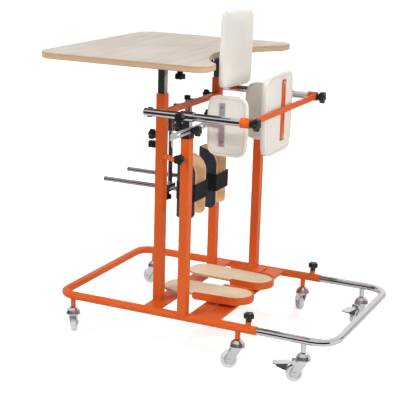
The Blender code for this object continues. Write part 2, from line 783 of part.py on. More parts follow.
def build_casters():
    stations = {"front": STEM_FRONT, "mid": STEM_MID, "rear": STEM_REAR}
    for station, x in stations.items():
        for name, side in SIDES.items():
            place = f"{name}_{station}"
            pivot = Vector((x, side * RAIL_HALF, 0.0))
            stand = Matrix.Translation(pivot) @ Matrix.Rotation(CASTER_YAW[place], 4, "Z")
            braked = station == "rear"
            piece(f"caster_fork_{place}", placed(caster_fork(braked), stand), ZINC, pivot)
            axle = stand @ Vector((TRAIL, 0, WHEEL_R))
            piece(f"caster_wheel_{place}", placed(caster_wheel(), stand), GREY, axle)
            if braked:
                hinge = stand @ Vector((PEDAL_PIVOT_X, 0, PEDAL_PIVOT_Z))
                piece(f"brake_pedal_{name}", placed(brake_pedal(), stand), ZINC, hinge)


# Table
def table_outline():
    """Half of the board's outline on the near side, then its mirror on the far side."""
    depth = TABLE_REAR - CUT_DEPTH_X
    tip_y = TABLE_HALF - TABLE_TIP
    radius = (depth ** 2 + tip_y ** 2) / (2 * depth)
    tip = math.degrees(math.asin(tip_y / radius))
    hollow = arc((CUT_DEPTH_X + radius, 0.0), radius, 180 - tip, 180 + tip, 16)[1:-1]
    return rounded([(TABLE_REAR, -tip_y, TABLE_TIP_CORNER), (TABLE_REAR, -TABLE_HALF, TABLE_REAR_CORNER),
                    (TABLE_FRONT, -TABLE_HALF, TABLE_FRONT_CORNER), (TABLE_FRONT, TABLE_HALF, TABLE_FRONT_CORNER),
                    (TABLE_REAR, TABLE_HALF, TABLE_REAR_CORNER), (TABLE_REAR, tip_y, TABLE_TIP_CORNER)]
                   + [(x, y, 0) for x, y in hollow])


def build_table():
    board = softened(sheet(table_outline(), TABLE_BOTTOM, TABLE_TOP_Z), TABLE_EDGE)
    piece("table_top", board, OAK, (POST_FRONT_X, 0.0, TABLE_BOTTOM))
    top = TABLE_BOTTOM - FIT
    low = top - CARRIAGE_THICK
    half = CARRIAGE_WIDTH / 2
    outer = POST_FRONT_Y + half
    frame = block((CARRIAGE_FRONT, CARRIAGE_FRONT + CARRIAGE_BAR), (-outer, outer), (low, top))
    added = []
    for side in SIDES.values():
        y = side * POST_FRONT_Y
        added.append(block((CARRIAGE_FRONT + BITE, CARRIAGE_REAR), (y - half, y + half), (low, top)))
        added.append(square(POST_FRONT_X, y, LEG, POST_FRONT_TOP - LEG_INSERT, top - BITE))
        seat = low - DEPTH_SPACER
        added.append(rod((DEPTH_KNOB_X, y, seat), (DEPTH_KNOB_X, y, low + BITE), DEPTH_SPACER_R, 12))
        added.append(fixed_knob((DEPTH_KNOB_X, y, seat), (0, 0, -1), BITE))
    piece("table_carriage", fused(frame, *added), CHROME, (POST_FRONT_X, 0.0, POST_FRONT_TOP))


def build_chest_support():
    top = TABLE_BOTTOM - FIT
    low = top - CHEST_BAR_THICK
    half = CHEST_BAR_WIDTH / 2
    back = CHEST_PAD_BACK - FIT
    bar = block((CHEST_BAR_FRONT, back - BITE), (-half, half), (low, top))
    strip = block((back - CHEST_BAR_THICK, back), (-half, half), (CHEST_STRIP_LOW, CHEST_STRIP_HIGH))
    knob = fixed_knob((CHEST_KNOB_X, 0.0, low), (0, 0, -1), BITE)
    piece("chest_bracket", fused(bar, strip, knob), ZINC, (CHEST_BAR_FRONT, 0.0, low))
    pad = cushion(CHEST_PAD_WIDTH, CHEST_PAD_HIGH - CHEST_PAD_LOW, CHEST_PAD_THICK, CHEST_PAD_CORNER)
    middle = (CHEST_PAD_BACK, 0.0, (CHEST_PAD_LOW + CHEST_PAD_HIGH) / 2)
    leaned = Matrix.Rotation(-CHEST_PAD_LEAN, 4, "X") @ toward_face((1, 0, 0))
    piece("chest_pad", placed(pad, Matrix.Translation(middle) @ leaned), VINYL, middle)


# Cushions
def toward_face(axis):
    """Rotation that keeps a cushion's height on Z and turns its crowned face to a level direction."""
    face = Vector(axis)
    across = Vector((0, 0, 1)).cross(face)
    columns = (across, Vector((0, 0, 1)), face)
    return Matrix([[column[row] for column in columns] for row in range(3)]).to_4x4()


def cushion(width, height, thickness, corner=PAD_CORNER):
    """Crowned pad on a flat back: X across, Y up, the back at Z = 0 and the crown towards +Z."""
    bm = bmesh.new()
    bmesh.ops.create_cube(bm, size=2.0)
    bmesh.ops.subdivide_edges(bm, edges=bm.edges, cuts=3, use_grid_fill=True)
    half_x = width / 2
    half_y = height / 2

    def spread(share, half):
        inner = half - corner
        if abs(share) <= 0.5:
            return share * 2 * inner
        return math.copysign(inner + (abs(share) - 0.5) * 2 * corner, share)

    for vert in bm.verts:
        x = spread(vert.co.x, half_x)
        y = spread(vert.co.y, half_y)
        over_x = max(abs(x) - (half_x - corner), 0.0)
        over_y = max(abs(y) - (half_y - corner), 0.0)
        if over_x > 0 and over_y > 0:
            ease = max(over_x, over_y) / math.hypot(over_x, over_y)
            x = math.copysign(half_x - corner + over_x * ease, x)
            y = math.copysign(half_y - corner + over_y * ease, y)
        edge = max(abs(vert.co.x), abs(vert.co.y))
        side_x = abs(vert.co.x) ** 4
        side_y = abs(vert.co.y) ** 4
        x -= math.copysign(PAD_DRAW * (1 - (y / half_y) ** 2) * side_x, x)
        y -= math.copysign(PAD_DRAW * (1 - (x / half_x) ** 2) * side_y, y)
        level = (vert.co.z + 1) / 2
        shoulder = thickness - PAD_CROWN * edge ** 3
        if edge == 1 and level == 0.25:
            x += math.copysign(PAD_SEAM, x) if abs(vert.co.x) == 1 else 0.0
            y += math.copysign(PAD_SEAM, y) if abs(vert.co.y) == 1 else 0.0
        vert.co = (x, y, level * shoulder)
    pad = solid(bm, "cushion")
    smooth = pad.modifiers.new("subdivision", "SUBSURF")
    smooth.levels = 1
    smooth.render_levels = 1
    pad = meshed(pad)
    low = min(vert.co.z for vert in pad.data.vertices)
    return placed(pad, Matrix.Translation((0, 0, -low)))


# Hip frame
def build_hip_legs():
    for name, side in SIDES.items():
        y = side * RAIL_HALF
        leg = square(POST_REAR_X, y, LEG, POST_REAR_TOP - HIP_INSERT, SIDE_TUBE_Z)
        ring = rod((RING_FRONT, y, SIDE_TUBE_Z), (RING_REAR, y, SIDE_TUBE_Z), RING_R, 20)
        ring_knob = fixed_knob((RING_KNOB_X, y + side * RING_R, SIDE_TUBE_Z), (0, side, 0), KNOB_SINK)
        leg_knob_z = POST_REAR_TOP + COLLAR_HEIGHT + LEG_KNOB_RISE
        leg_knob = fixed_knob((POST_REAR_X - LEG / 2, y, leg_knob_z), (-1, 0, 0), BITE)
        bore = drill((RING_FRONT - BITE, y, SIDE_TUBE_Z), (RING_REAR + BITE, y, SIDE_TUBE_Z), SIDE_TUBE_R + FIT, 20)
        face = POST_REAR_X + LEG / 2
        hole = drill((face - BOSS, y, ARM_Z), (face + BITE, y, ARM_Z), THIN_STUD_R + FIT, 12)
        whole = cut(fused(leg, ring, ring_knob, leg_knob), bore, hole)
        piece(f"hip_leg_{name}", whole, CHROME, (POST_REAR_X, y, POST_REAR_TOP))
        tube = rod((SIDE_TUBE_FRONT, y, SIDE_TUBE_Z), (SIDE_TUBE_REAR, y, SIDE_TUBE_Z), SIDE_TUBE_R, 20)
        piece(f"side_tube_{name}", tube, CHROME, (SIDE_TUBE_REAR, y, SIDE_TUBE_Z))


def build_gate():
    rear = GATE_BAR_X + GATE_BAR_THICK
    low = SIDE_TUBE_Z - GATE_BAR_HEIGHT / 2
    bar = block((GATE_BAR_X, rear), (-RAIL_HALF, RAIL_HALF), (low, low + GATE_BAR_HEIGHT))
    added = []
    removed = []
    bottom = SIDE_TUBE_REAR + GATE_SLEEVE_SPARE
    for side in SIDES.values():
        y = side * RAIL_HALF
        added.append(rod((GATE_SLEEVE_FRONT, y, SIDE_TUBE_Z), (rear, y, SIDE_TUBE_Z), GATE_SLEEVE_R, 20))
        removed.append(drill((GATE_SLEEVE_FRONT - BITE, y, SIDE_TUBE_Z), (bottom, y, SIDE_TUBE_Z),
                             SIDE_TUBE_R + FIT, 20))
        removed.append(drill((bottom - BITE, y, SIDE_TUBE_Z), (rear + BITE, y, SIDE_TUBE_Z), STUD_R + FIT, 12))
    guide = GATE_BAR_X - REAR_STRIP_THICK + FIT
    added.append(rod((guide, REAR_STRIP_Y, SIDE_TUBE_Z), (GATE_BAR_X + BITE, REAR_STRIP_Y, SIDE_TUBE_Z), STUD_R, 12))
    piece("rear_gate", cut(fused(bar, *added), *removed), ORANGE, (GATE_BAR_X, 0.0, SIDE_TUBE_Z))
    for name, side in SIDES.items():
        seat = (rear + FIT, side * RAIL_HALF, SIDE_TUBE_Z)
        stud = seat[0] - SIDE_TUBE_REAR - FIT
        piece(f"gate_knob_{name}", star_knob(seat, (1, 0, 0), stud), BLACK, seat)


def build_rear_pad():
    rear = GATE_BAR_X - FIT
    front = rear - REAR_STRIP_THICK
    y = REAR_STRIP_Y
    half = REAR_STRIP_WIDTH / 2
    strip = block((front, rear), (y - half, y + half), (REAR_STRIP_LOW, REAR_STRIP_HIGH))
    slot_half = SLOT_WIDTH / 2
    reach = REAR_PAD_TRAVEL + slot_half + BITE
    slot = block((front - BITE, rear + BITE), (y - slot_half, y + slot_half),
                 (SIDE_TUBE_Z - reach, SIDE_TUBE_Z + reach))
    bolts = [rod((rear - BITE, y, z), (rear + BOLT_HEAD, y, z), BOLT_R, 8)
             for z in (REAR_STRIP_LOW + BOLT_INSET, REAR_STRIP_HIGH - BOLT_INSET)]
    piece("rear_pad_strip", cut(fused(strip, *bolts), slot), ORANGE, (front, y, SIDE_TUBE_Z))
    pad = cushion(REAR_PAD_WIDTH, REAR_PAD_HIGH - REAR_PAD_LOW, REAR_PAD_THICK)
    middle = (front - FIT, REAR_PAD_Y, (REAR_PAD_LOW + REAR_PAD_HIGH) / 2)
    piece("rear_pad", placed(pad, Matrix.Translation(middle) @ toward_face((-1, 0, 0))), VINYL, middle)


def build_hip_arms():
    front = POST_REAR_X + LEG / 2 + FIT
    bar_z = (ARM_Z - ARM_HEIGHT / 2, ARM_Z + ARM_HEIGHT / 2)
    strip_inner = HIP_PAD_OUTER + FIT
    strip_outer = strip_inner + HIP_STRIP_THICK
    arm_outer = strip_outer + ARM_THICK
    strip_x = (ARM_REACH - HIP_STRIP_WIDTH, ARM_REACH)
    strip_z = (ARM_Z - HIP_STRIP_DROP, ARM_Z + HIP_STRIP_RISE)
    outer_end = RAIL_HALF + ARM_OVERHANG
    slot_half = ARM_SLOT / 2
    for name, side in SIDES.items():
        across = block((front, front + ARM_THICK), (side * strip_outer, side * outer_end), bar_z)
        along = block((front, ARM_REACH), (side * (strip_outer - BITE), side * arm_outer), bar_z)
        strip = block(strip_x, (side * strip_inner, side * strip_outer), strip_z)
        middle = (strip_x[0] + strip_x[1]) / 2
        bolts = [rod((middle, side * (strip_outer - BITE), z), (middle, side * (strip_outer + BOLT_HEAD), z),
                     BOLT_R, 8)
                 for z in (strip_z[0] + BOLT_INSET, strip_z[1] - BOLT_INSET)]
        slot_y = (side * (RAIL_HALF + ARM_SLOT_OUT), side * (RAIL_HALF - ARM_SLOT_IN))
        slot = block((front - BITE, front + ARM_THICK + BITE), slot_y, (ARM_Z - slot_half, ARM_Z + slot_half))
        arm = cut(fused(across, along, strip, *bolts), slot)
        piece(f"hip_arm_{name}", arm, CHROME, (front, side * RAIL_HALF, ARM_Z))
        seat = (front + ARM_THICK + FIT, side * RAIL_HALF, ARM_Z)
        knob = star_knob(seat, (1, 0, 0), seat[0] - front + BOSS - BITE, THIN_STUD_R)
        piece(f"hip_arm_knob_{name}", knob, BLACK, seat)
        pad = cushion(HIP_PAD_REAR - HIP_PAD_FRONT, HIP_PAD_HIGH - HIP_PAD_LOW, HIP_PAD_THICK)
        centre = ((HIP_PAD_FRONT + HIP_PAD_REAR) / 2, side * HIP_PAD_OUTER, (HIP_PAD_LOW + HIP_PAD_HIGH) / 2)
        piece(f"hip_pad_{name}", placed(pad, Matrix.Translation(centre) @ toward_face((0, -side, 0))), VINYL, centre)


# Knee supports
def build_knee_poles():
    half = CLAMP_LENGTH / 2
    clamp_z = (ROD_Z - CLAMP_HEIGHT / 2, ROD_Z + CLAMP_HEIGHT / 2)
    for name, side in SIDES.items():
        top = POLE_TOP[name]
        pole = rod((POLE_X, side * POLE_Y, POLE_BOTTOM), (POLE_X, side * POLE_Y, top), POLE_R)
        clamp = block((POLE_X - half, POLE_X + half),
                      (side * (POLE_Y - CLAMP_EDGE), side * (ROD_Y + CLAMP_EDGE)), clamp_z)
        knob = fixed_knob((POLE_X, side * ROD_Y, clamp_z[0]), (0, 0, -1), BITE)
        added = [clamp, knob]
        if name == CAPPED_POLE:
            added.append(rod((POLE_X, side * POLE_Y, top - BITE), (POLE_X, side * POLE_Y, top + CAP_HEIGHT),
                             CAP_R, 8))
        bore = drill((POLE_X - half - BITE, side * ROD_Y, ROD_Z), (POLE_X + half + BITE, side * ROD_Y, ROD_Z),
                     POLE_R + FIT)
        piece(f"knee_pole_{name}", cut(fused(pole, *added), bore), CHROME, (POLE_X, side * POLE_Y, ROD_Z))


def cup_outline(inset, rear):
    """Plan of a bent shell, open to the rear: its line inset from the cup's outer face."""
    front = CUP_FRONT + inset
    half = CUP_HALF - inset
    bend = CUP_BEND - inset
    return rounded([(rear, -half, 0), (front, -half, bend), (front, half, bend), (rear, half, 0)])


def cup_shell(inset, wall, edge):
    """Bent shell between two insets, its top and bottom rear corners arched, held back from the cup's edge."""
    rear, low, high = CUP_REAR - edge, CUP_LOW + edge, CUP_HIGH - edge
    shell = sheet(cup_outline(inset, rear) + cup_outline(inset + wall, rear)[::-1], low, high)
    front = CUP_FRONT - BITE
    face = rounded([(front, low - BITE, 0), (rear + BITE, low, CUP_ARCH_LOW), (rear + BITE, high, CUP_ARCH_TOP),
                    (front, high + BITE, 0)])
    return combine(shell, [upright(face, -CUP_HALF - BITE, CUP_HALF + BITE)], "INTERSECT")


def knee_strap():
    """Webbing all round the cup, closed across the opening behind the knee."""
    outer = sheet(cup_outline(-STRAP_THICK, CUP_REAR + STRAP_THICK), STRAP_LOW, STRAP_HIGH)
    room = sheet(cup_outline(BITE, CUP_REAR - BITE), STRAP_LOW - BITE, STRAP_HIGH + BITE)
    return cut(outer, room)


def build_knee_cups():
    for name, side in SIDES.items():
        y = side * ROD_Y
        shift = Matrix.Translation((0, y, 0))
        end = CUP_FRONT - STRAP_THICK - FIT
        bar = rod((ROD_FRONT, y, ROD_Z), (end, y, ROD_Z), POLE_R)
        flange = rod((end - FLANGE_THICK, y, ROD_Z), (end, y, ROD_Z), FLANGE_R)
        piece(f"knee_rod_{name}", fused(bar, flange), CHROME, (ROD_FRONT, y, ROD_Z))
        cup = placed(fused(cup_shell(0.0, CUP_WALL, 0.0), knee_strap()), shift)
        piece(f"knee_cup_{name}", cup, FOAM, (CUP_FRONT, y, ROD_Z))
        liner = placed(cup_shell(CUP_WALL + FIT, LINER_THICK, LINER_INSET), shift)
        piece(f"knee_liner_{name}", liner, TAN, (CUP_REAR, y, ROD_Z))


# Feet
def foot_outline(inset, near_front, far_front):
    """Plan of a foot plate's rear: a straight side on each hand, then half a circle round the heel."""
    half = FOOT_HALF - inset
    return [(near_front, -half)] + arc((FOOT_REAR - FOOT_HALF, 0.0), half, -90, 90, 8) + [(far_front, half)]


def rim_nose(front, low, high, reach):
    """Side view of the rim, with a rounded front, from the middle line out to one hand."""
    rear = FOOT_REAR + RIM_THICK + 2 * BITE
    view = rounded([(front, low, RIM_NOSE_R), (rear, low - BITE, 0), (rear, high + BITE, 0), (front, high, RIM_NOSE_R)])
    return upright(view, *sorted((-math.copysign(BITE, reach), reach)))


def build_feet():
    plate_low = FOOT_TOP - FOOT_THICK
    rim_top = FOOT_TOP + RIM_PROUD
    rim_low = rim_top - RIM_HEIGHT
    floor_top = plate_low - FIT
    under = STRIP_TOP - STRIP_THICK - FIT
    for name, side in SIDES.items():
        y = FOOT_Y[name]
        stand = Matrix.Translation((SLOT_X, y, 0)) @ Matrix.Rotation(-side * FOOT_TURN, 4, "Z")
        stand = stand @ Matrix.Translation((-SLOT_X, 0, 0))
        toe = rounded([(FOOT_FRONT, FOOT_HALF, TOE_CORNER), (FOOT_FRONT, -FOOT_HALF, TOE_CORNER)
                       ] + [(x, y, 0) for x, y in foot_outline(0.0, SLOT_X, SLOT_X)])
        piece(f"foot_plate_{name}", placed(sheet(toe, plate_low, FOOT_TOP), stand), BIRCH, (SLOT_X, y, plate_low))
        fronts = {side: RIM_FRONT_OUTER, -side: RIM_FRONT_INNER}
        outside = foot_outline(-FIT - RIM_THICK, fronts[-1.0], fronts[1.0])
        inside = foot_outline(-FIT, fronts[-1.0], fronts[1.0])
        wall = sheet(outside + inside[::-1], rim_low, rim_top)
        noses = [rim_nose(front, rim_low, rim_top, hand * 2 * FOOT_HALF) for hand, front in fronts.items()]
        wall = combine(wall, [fused(*noses)], "INTERSECT")
        floor_front = SLOT_X - PEDESTAL_R - 2 * BITE
        floor = sheet(foot_outline(-FIT - BITE, floor_front, floor_front), floor_top - FLOOR_PLATE, floor_top)
        pedestal = rod((SLOT_X, 0, STRIP_TOP + FIT), (SLOT_X, 0, floor_top - BITE), PEDESTAL_R, 12)
        screw = rod((SLOT_X, 0, under - FOOT_KNOB_DROP), (SLOT_X, 0, STRIP_TOP + FIT + BITE), STUD_R, 12)
        knob = fixed_knob((SLOT_X, 0, under - FOOT_KNOB_DROP), (0, 0, -1), FOOT_KNOB_DROP)
        piece(f"heel_rim_{name}", placed(fused(wall, floor, pedestal, screw, knob), stand), ORANGE,
              (SLOT_X, y, STRIP_TOP))


build_base_tube()
build_rear_extension()
build_crossmembers()
build_front_posts()
build_rear_posts()
build_front_crossbar()
build_casters()
build_table()
build_chest_support()
build_hip_legs()
build_gate()
build_rear_pad()
build_hip_arms()
build_knee_poles()
build_knee_cups()
build_feet()
bpy.data.collections.remove(SHAPING)
bpy.context.view_layer.update()
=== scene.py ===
# %% [markdown]
# # A child's standing table, dressed for its portrait
# The solids of the frame come ready made: bent tube, posts, casters, table and pads, each on the body that
# moves it. This lesson gives them their surfaces, replaces the plain pads by stuffed ones, and adds the small
# pieces that a maker buys in: star knobs, collars, tube plugs, screws and webbing.

# %% Load the frame
import json
import math

import bmesh
import bpy
from mathutils import Matrix, Vector


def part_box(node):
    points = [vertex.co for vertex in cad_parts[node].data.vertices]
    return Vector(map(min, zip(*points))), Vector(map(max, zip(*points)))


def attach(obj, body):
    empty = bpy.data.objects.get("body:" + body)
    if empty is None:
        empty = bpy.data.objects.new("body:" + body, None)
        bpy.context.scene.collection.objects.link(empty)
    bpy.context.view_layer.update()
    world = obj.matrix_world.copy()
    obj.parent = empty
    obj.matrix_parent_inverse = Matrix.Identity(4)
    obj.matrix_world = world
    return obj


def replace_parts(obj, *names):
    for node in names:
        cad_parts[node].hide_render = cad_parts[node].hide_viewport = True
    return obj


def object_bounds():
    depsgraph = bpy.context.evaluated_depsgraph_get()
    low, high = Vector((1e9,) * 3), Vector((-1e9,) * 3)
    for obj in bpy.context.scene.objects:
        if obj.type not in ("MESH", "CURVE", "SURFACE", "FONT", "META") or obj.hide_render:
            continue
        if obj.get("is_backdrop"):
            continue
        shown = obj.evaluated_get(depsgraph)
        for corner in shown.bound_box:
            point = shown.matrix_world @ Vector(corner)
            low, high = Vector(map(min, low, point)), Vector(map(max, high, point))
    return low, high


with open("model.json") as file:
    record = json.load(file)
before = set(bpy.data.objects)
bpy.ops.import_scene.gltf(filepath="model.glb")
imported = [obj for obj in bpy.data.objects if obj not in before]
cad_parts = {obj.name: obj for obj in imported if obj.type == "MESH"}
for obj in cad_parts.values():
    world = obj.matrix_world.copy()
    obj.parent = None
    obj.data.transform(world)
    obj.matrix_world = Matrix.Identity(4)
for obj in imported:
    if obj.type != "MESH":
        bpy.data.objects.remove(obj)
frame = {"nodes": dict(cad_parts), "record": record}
cad_low, cad_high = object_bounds()
TUBE_R = 0.014
FRONT_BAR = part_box("base_tube")[0].x + TUBE_R
SIDES = {"near": -1.0, "far": 1.0}

# %% [markdown]
# ## Places
# The drawing measures its X from the middle of the front bar, so one helper turns such a place into the
# frame's own coordinates. Colours are written as a screen shows them, 0 to 255, and turned to linear light,
# which is what a shader works in.


# %% Helpers for places, colours and new pieces
def at(x, y, z):
    """A place measured from the front bar, as a point in the frame."""
    return Vector((FRONT_BAR + x, y, z))


def linear(*channels):
    """Screen colour to linear light, with an alpha of one."""
    shares = [value / 255 for value in channels]
    return tuple(s / 12.92 if s <= 0.04045 else ((s + 0.055) / 1.055) ** 2.4 for s in shares) + (1.0,)


def toward(axis):
    """Rotation that takes +Z to the given direction."""
    return Vector((0, 0, 1)).rotation_difference(Vector(axis)).to_matrix().to_4x4()


def new_piece(name, data, finish, body):
    """Link a mesh or curve, give it its finish and let it move with a body."""
    obj = bpy.data.objects.new(name, data)
    bpy.context.scene.collection.objects.link(obj)
    data.materials.clear()
    data.materials.append(finish)
    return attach(obj, body)


def mesh_from(bm, name, smooth_below=40):
    """Turn a bmesh into a mesh, smooth but for its sharp edges."""
    bmesh.ops.recalc_face_normals(bm, faces=bm.faces)
    mesh = bpy.data.meshes.new(name)
    bm.to_mesh(mesh)
    bm.free()
    mesh.shade_smooth()
    mesh.set_sharp_from_angle(angle=math.radians(smooth_below))
    return mesh


def built_piece(name, bm, place, finish, body, smooth_below=40):
    """A piece from a bmesh, put in its place by a matrix."""
    mesh = mesh_from(bm, name, smooth_below)
    mesh.transform(place)
    return new_piece(name, mesh, finish, body)


# %% [markdown]
# ## Effects that several finishes share
# Real surfaces are never one colour. Each effect here is a node group with named sockets, built once: a slow
# drift of tone, gloss that fingers have dulled, edges rubbed lighter, a fine relief, and timber grain.


# %% Node helpers
def node(tree, kind, **settings):
    made = tree.nodes.new(kind)
    for key, value in settings.items():
        setattr(made, key, value)
    return made


def wire(tree, source, target):
    tree.links.new(source, target)


def feed(tree, setting, socket):
    """Type a number on a socket, or wire another socket to it."""
    if isinstance(setting, (int, float)):
        socket.default_value = setting
    else:
        wire(tree, setting, socket)


def own_coordinates(tree):
    """The piece's own coordinates, so that a pattern moves with the piece."""
    return node(tree, "ShaderNodeTexCoord").outputs["Object"]


def effect(name, inputs, outputs):
    """An empty shader group: a number is the default of its input; the other sockets give their kind."""
    group = bpy.data.node_groups.new(name, "ShaderNodeTree")
    for way, sockets in (("INPUT", inputs), ("OUTPUT", outputs)):
        for label, given in sockets.items():
            kind = given if isinstance(given, str) else "Float"
            socket = group.interface.new_socket(name=label, in_out=way, socket_type=f"NodeSocket{kind}")
            if kind != given:
                socket.default_value = given
    return group, node(group, "NodeGroupInput"), node(group, "NodeGroupOutput")


def remap(tree, value, low, high, start=0.3, end=0.7):
    """Map a value onto a range whose ends may be sockets or numbers."""
    made = node(tree, "ShaderNodeMapRange")
    wire(tree, value, made.inputs["Value"])
    for key, setting in (("From Min", start), ("From Max", end), ("To Min", low), ("To Max", high)):
        feed(tree, setting, made.inputs[key])
    return made.outputs["Result"]


def arithmetic(tree, operation, first, second):
    made = node(tree, "ShaderNodeMath", operation=operation)
    for socket, setting in zip(made.inputs, (first, second)):
        feed(tree, setting, socket)
    return made.outputs["Value"]


def blend_colours(tree, factor, first, second):
    made = node(tree, "ShaderNodeMix", data_type="RGBA")
    wire(tree, factor, made.inputs["Factor"])
    wire(tree, first, made.inputs[6])
    wire(tree, second, made.inputs[7])
    return made.outputs[2]


def cloud(tree, scale, detail=4.0, coordinates=None):
    """Noise, in the piece's own coordinates unless others are given."""
    made = node(tree, "ShaderNodeTexNoise")
    made.inputs["Detail"].default_value = detail
    wire(tree, coordinates or own_coordinates(tree), made.inputs["Vector"])
    feed(tree, scale, made.inputs["Scale"])
    return made.outputs["Fac"]


# %% Drift of tone, dulled gloss and relief
DRIFT, given, result = effect(
    "tone_drift", {"Colour": "Color", "Spread": 0.06, "Scale": 6.0}, {"Colour": "Color"})
darker = arithmetic(DRIFT, "SUBTRACT", 1.0, given.outputs["Spread"])
lighter = arithmetic(DRIFT, "ADD", 1.0, given.outputs["Spread"])
shift = node(DRIFT, "ShaderNodeHueSaturation")
wire(DRIFT, given.outputs["Colour"], shift.inputs["Color"])
wire(DRIFT, remap(DRIFT, cloud(DRIFT, given.outputs["Scale"]), darker, lighter), shift.inputs["Value"])
wire(DRIFT, shift.outputs["Color"], result.inputs["Colour"])

SMUDGE, given, result = effect(
    "dulled_gloss", {"Clean": 0.2, "Dull": 0.4, "Scale": 9.0}, {"Roughness": "Float"})
smears = cloud(SMUDGE, given.outputs["Scale"], 6.0)
wire(SMUDGE, remap(SMUDGE, smears, given.outputs["Clean"], given.outputs["Dull"]), result.inputs["Roughness"])

RELIEF, given, result = effect(
    "fine_relief", {"Scale": 900.0, "Cells": 0.0}, {"Height": "Float"})
cells = node(RELIEF, "ShaderNodeTexVoronoi", feature="SMOOTH_F1")
wire(RELIEF, own_coordinates(RELIEF), cells.inputs["Vector"])
wire(RELIEF, given.outputs["Scale"], cells.inputs["Scale"])
mixed = node(RELIEF, "ShaderNodeMix", data_type="FLOAT")
wire(RELIEF, given.outputs["Cells"], mixed.inputs["Factor"])
wire(RELIEF, cloud(RELIEF, given.outputs["Scale"], 3.0), mixed.inputs[2])
wire(RELIEF, cells.outputs["Distance"], mixed.inputs[3])
wire(RELIEF, mixed.outputs[0], result.inputs["Height"])
print("effects", [group.name for group in (DRIFT, SMUDGE, RELIEF)])

# %% [markdown]
# Rubbed edges need to know where an edge is. The Bevel node gives the normal that a rounded edge would have;
# where it differs from the real normal, there is an edge. Noise breaks the rub up, because wear is patchy.

# %% Rubbed edges
RUB, given, result = effect(
    "rubbed_edges",
    {"Colour": "Color", "Rubbed": "Color", "Width": 0.0015, "Amount": 0.5},
    {"Colour": "Color"})
rounded_normal = node(RUB, "ShaderNodeBevel", samples=4)
wire(RUB, given.outputs["Width"], rounded_normal.inputs["Radius"])
agree = node(RUB, "ShaderNodeVectorMath", operation="DOT_PRODUCT")
wire(RUB, rounded_normal.outputs["Normal"], agree.inputs[0])
wire(RUB, node(RUB, "ShaderNodeNewGeometry").outputs["Normal"], agree.inputs[1])
edge = remap(RUB, agree.outputs["Value"], 1.0, 0.0, 0.80, 0.98)
patches = remap(RUB, cloud(RUB, 38.0, 5.0), 0.0, 1.0, 0.42, 0.62)
mask = arithmetic(RUB, "MULTIPLY", arithmetic(RUB, "MULTIPLY", edge, patches), given.outputs["Amount"])
wire(RUB, blend_colours(RUB, mask, given.outputs["Colour"], given.outputs["Rubbed"]), result.inputs["Colour"])
print("effect", RUB.name)

# %% [markdown]
# Timber grain is noise drawn out along one axis: long soft bands, with fine pores in them. Plywood shows its
# layers on the cut edge instead, which are bands across the height.

# %% Timber grain and ply layers
GRAIN, given, result = effect(
    "timber_grain",
    {"Light": "Color", "Dark": "Color", "Stretch": "Vector", "Contrast": 0.5},
    {"Colour": "Color", "Height": "Float"})
drawn = node(GRAIN, "ShaderNodeVectorMath", operation="MULTIPLY")
wire(GRAIN, own_coordinates(GRAIN), drawn.inputs[0])
wire(GRAIN, given.outputs["Stretch"], drawn.inputs[1])
bands = arithmetic(GRAIN, "MULTIPLY", cloud(GRAIN, 1.0, 5.0, drawn.outputs["Vector"]), 0.75)
pores = arithmetic(GRAIN, "MULTIPLY", cloud(GRAIN, 9.0, 2.0, drawn.outputs["Vector"]), 0.25)
both = arithmetic(GRAIN, "ADD", bands, pores)
strength = arithmetic(GRAIN, "MULTIPLY", remap(GRAIN, both, 0.0, 1.0, 0.36, 0.64), given.outputs["Contrast"])
grained = blend_colours(GRAIN, strength, given.outputs["Light"], given.outputs["Dark"])
wire(GRAIN, grained, result.inputs["Colour"])
wire(GRAIN, both, result.inputs["Height"])

LAYERS, given, result = effect(
    "ply_layers", {"Light": "Color", "Dark": "Color", "Pitch": 0.0028}, {"Colour": "Color"})
height = node(LAYERS, "ShaderNodeSeparateXYZ")
wire(LAYERS, own_coordinates(LAYERS), height.inputs["Vector"])
wobble = arithmetic(LAYERS, "MULTIPLY", cloud(LAYERS, 30.0, 2.0), 0.0006)
wavering = arithmetic(LAYERS, "ADD", height.outputs["Z"], wobble)
count = arithmetic(LAYERS, "DIVIDE", wavering, given.outputs["Pitch"])
stripe = remap(LAYERS, arithmetic(LAYERS, "PINGPONG", count, 1.0), 0.0, 1.0, 0.35, 0.65)
layered = blend_colours(LAYERS, stripe, given.outputs["Light"], given.outputs["Dark"])
wire(LAYERS, layered, result.inputs["Colour"])
print("effects", GRAIN.name, LAYERS.name)

# %% [markdown]
# ## Finishes
# A finish is a Principled shader fed by these effects. What is the same all over the surface, such as the
# metal value, is typed on the shader's own socket; what changes over the surface comes from a group.


# %% The frame of every finish
def place_effect(tree, group, **values):
    """Put an effect into a material and set its own values."""
    made = node(tree, "ShaderNodeGroup", node_tree=group)
    for key, value in values.items():
        made.inputs[key].default_value = value
    return made


def finish(name, metallic=0.0, **constants):
    material = bpy.data.materials.new(name)
    material.use_nodes = True
    tree = material.node_tree
    shader = tree.nodes["Principled BSDF"]
    shader.inputs["Metallic"].default_value = metallic
    for key, value in constants.items():
        shader.inputs[key.replace("_", " ")].default_value = value
    return material, tree, shader


def bump(tree, shader, height, strength, distance, base=None):
    made = node(tree, "ShaderNodeBump")
    if base:
        wire(tree, base, made.inputs["Normal"])
    made.inputs["Strength"].default_value = strength
    made.inputs["Distance"].default_value = distance
    wire(tree, height, made.inputs["Height"])
    wire(tree, made.outputs["Normal"], shader.inputs["Normal"])


def gloss(tree, shader, clean, dull, scale=9.0):
    smudge = place_effect(tree, SMUDGE, Clean=clean, Dull=dull, Scale=scale)
    wire(tree, smudge.outputs["Roughness"], shader.inputs["Roughness"])


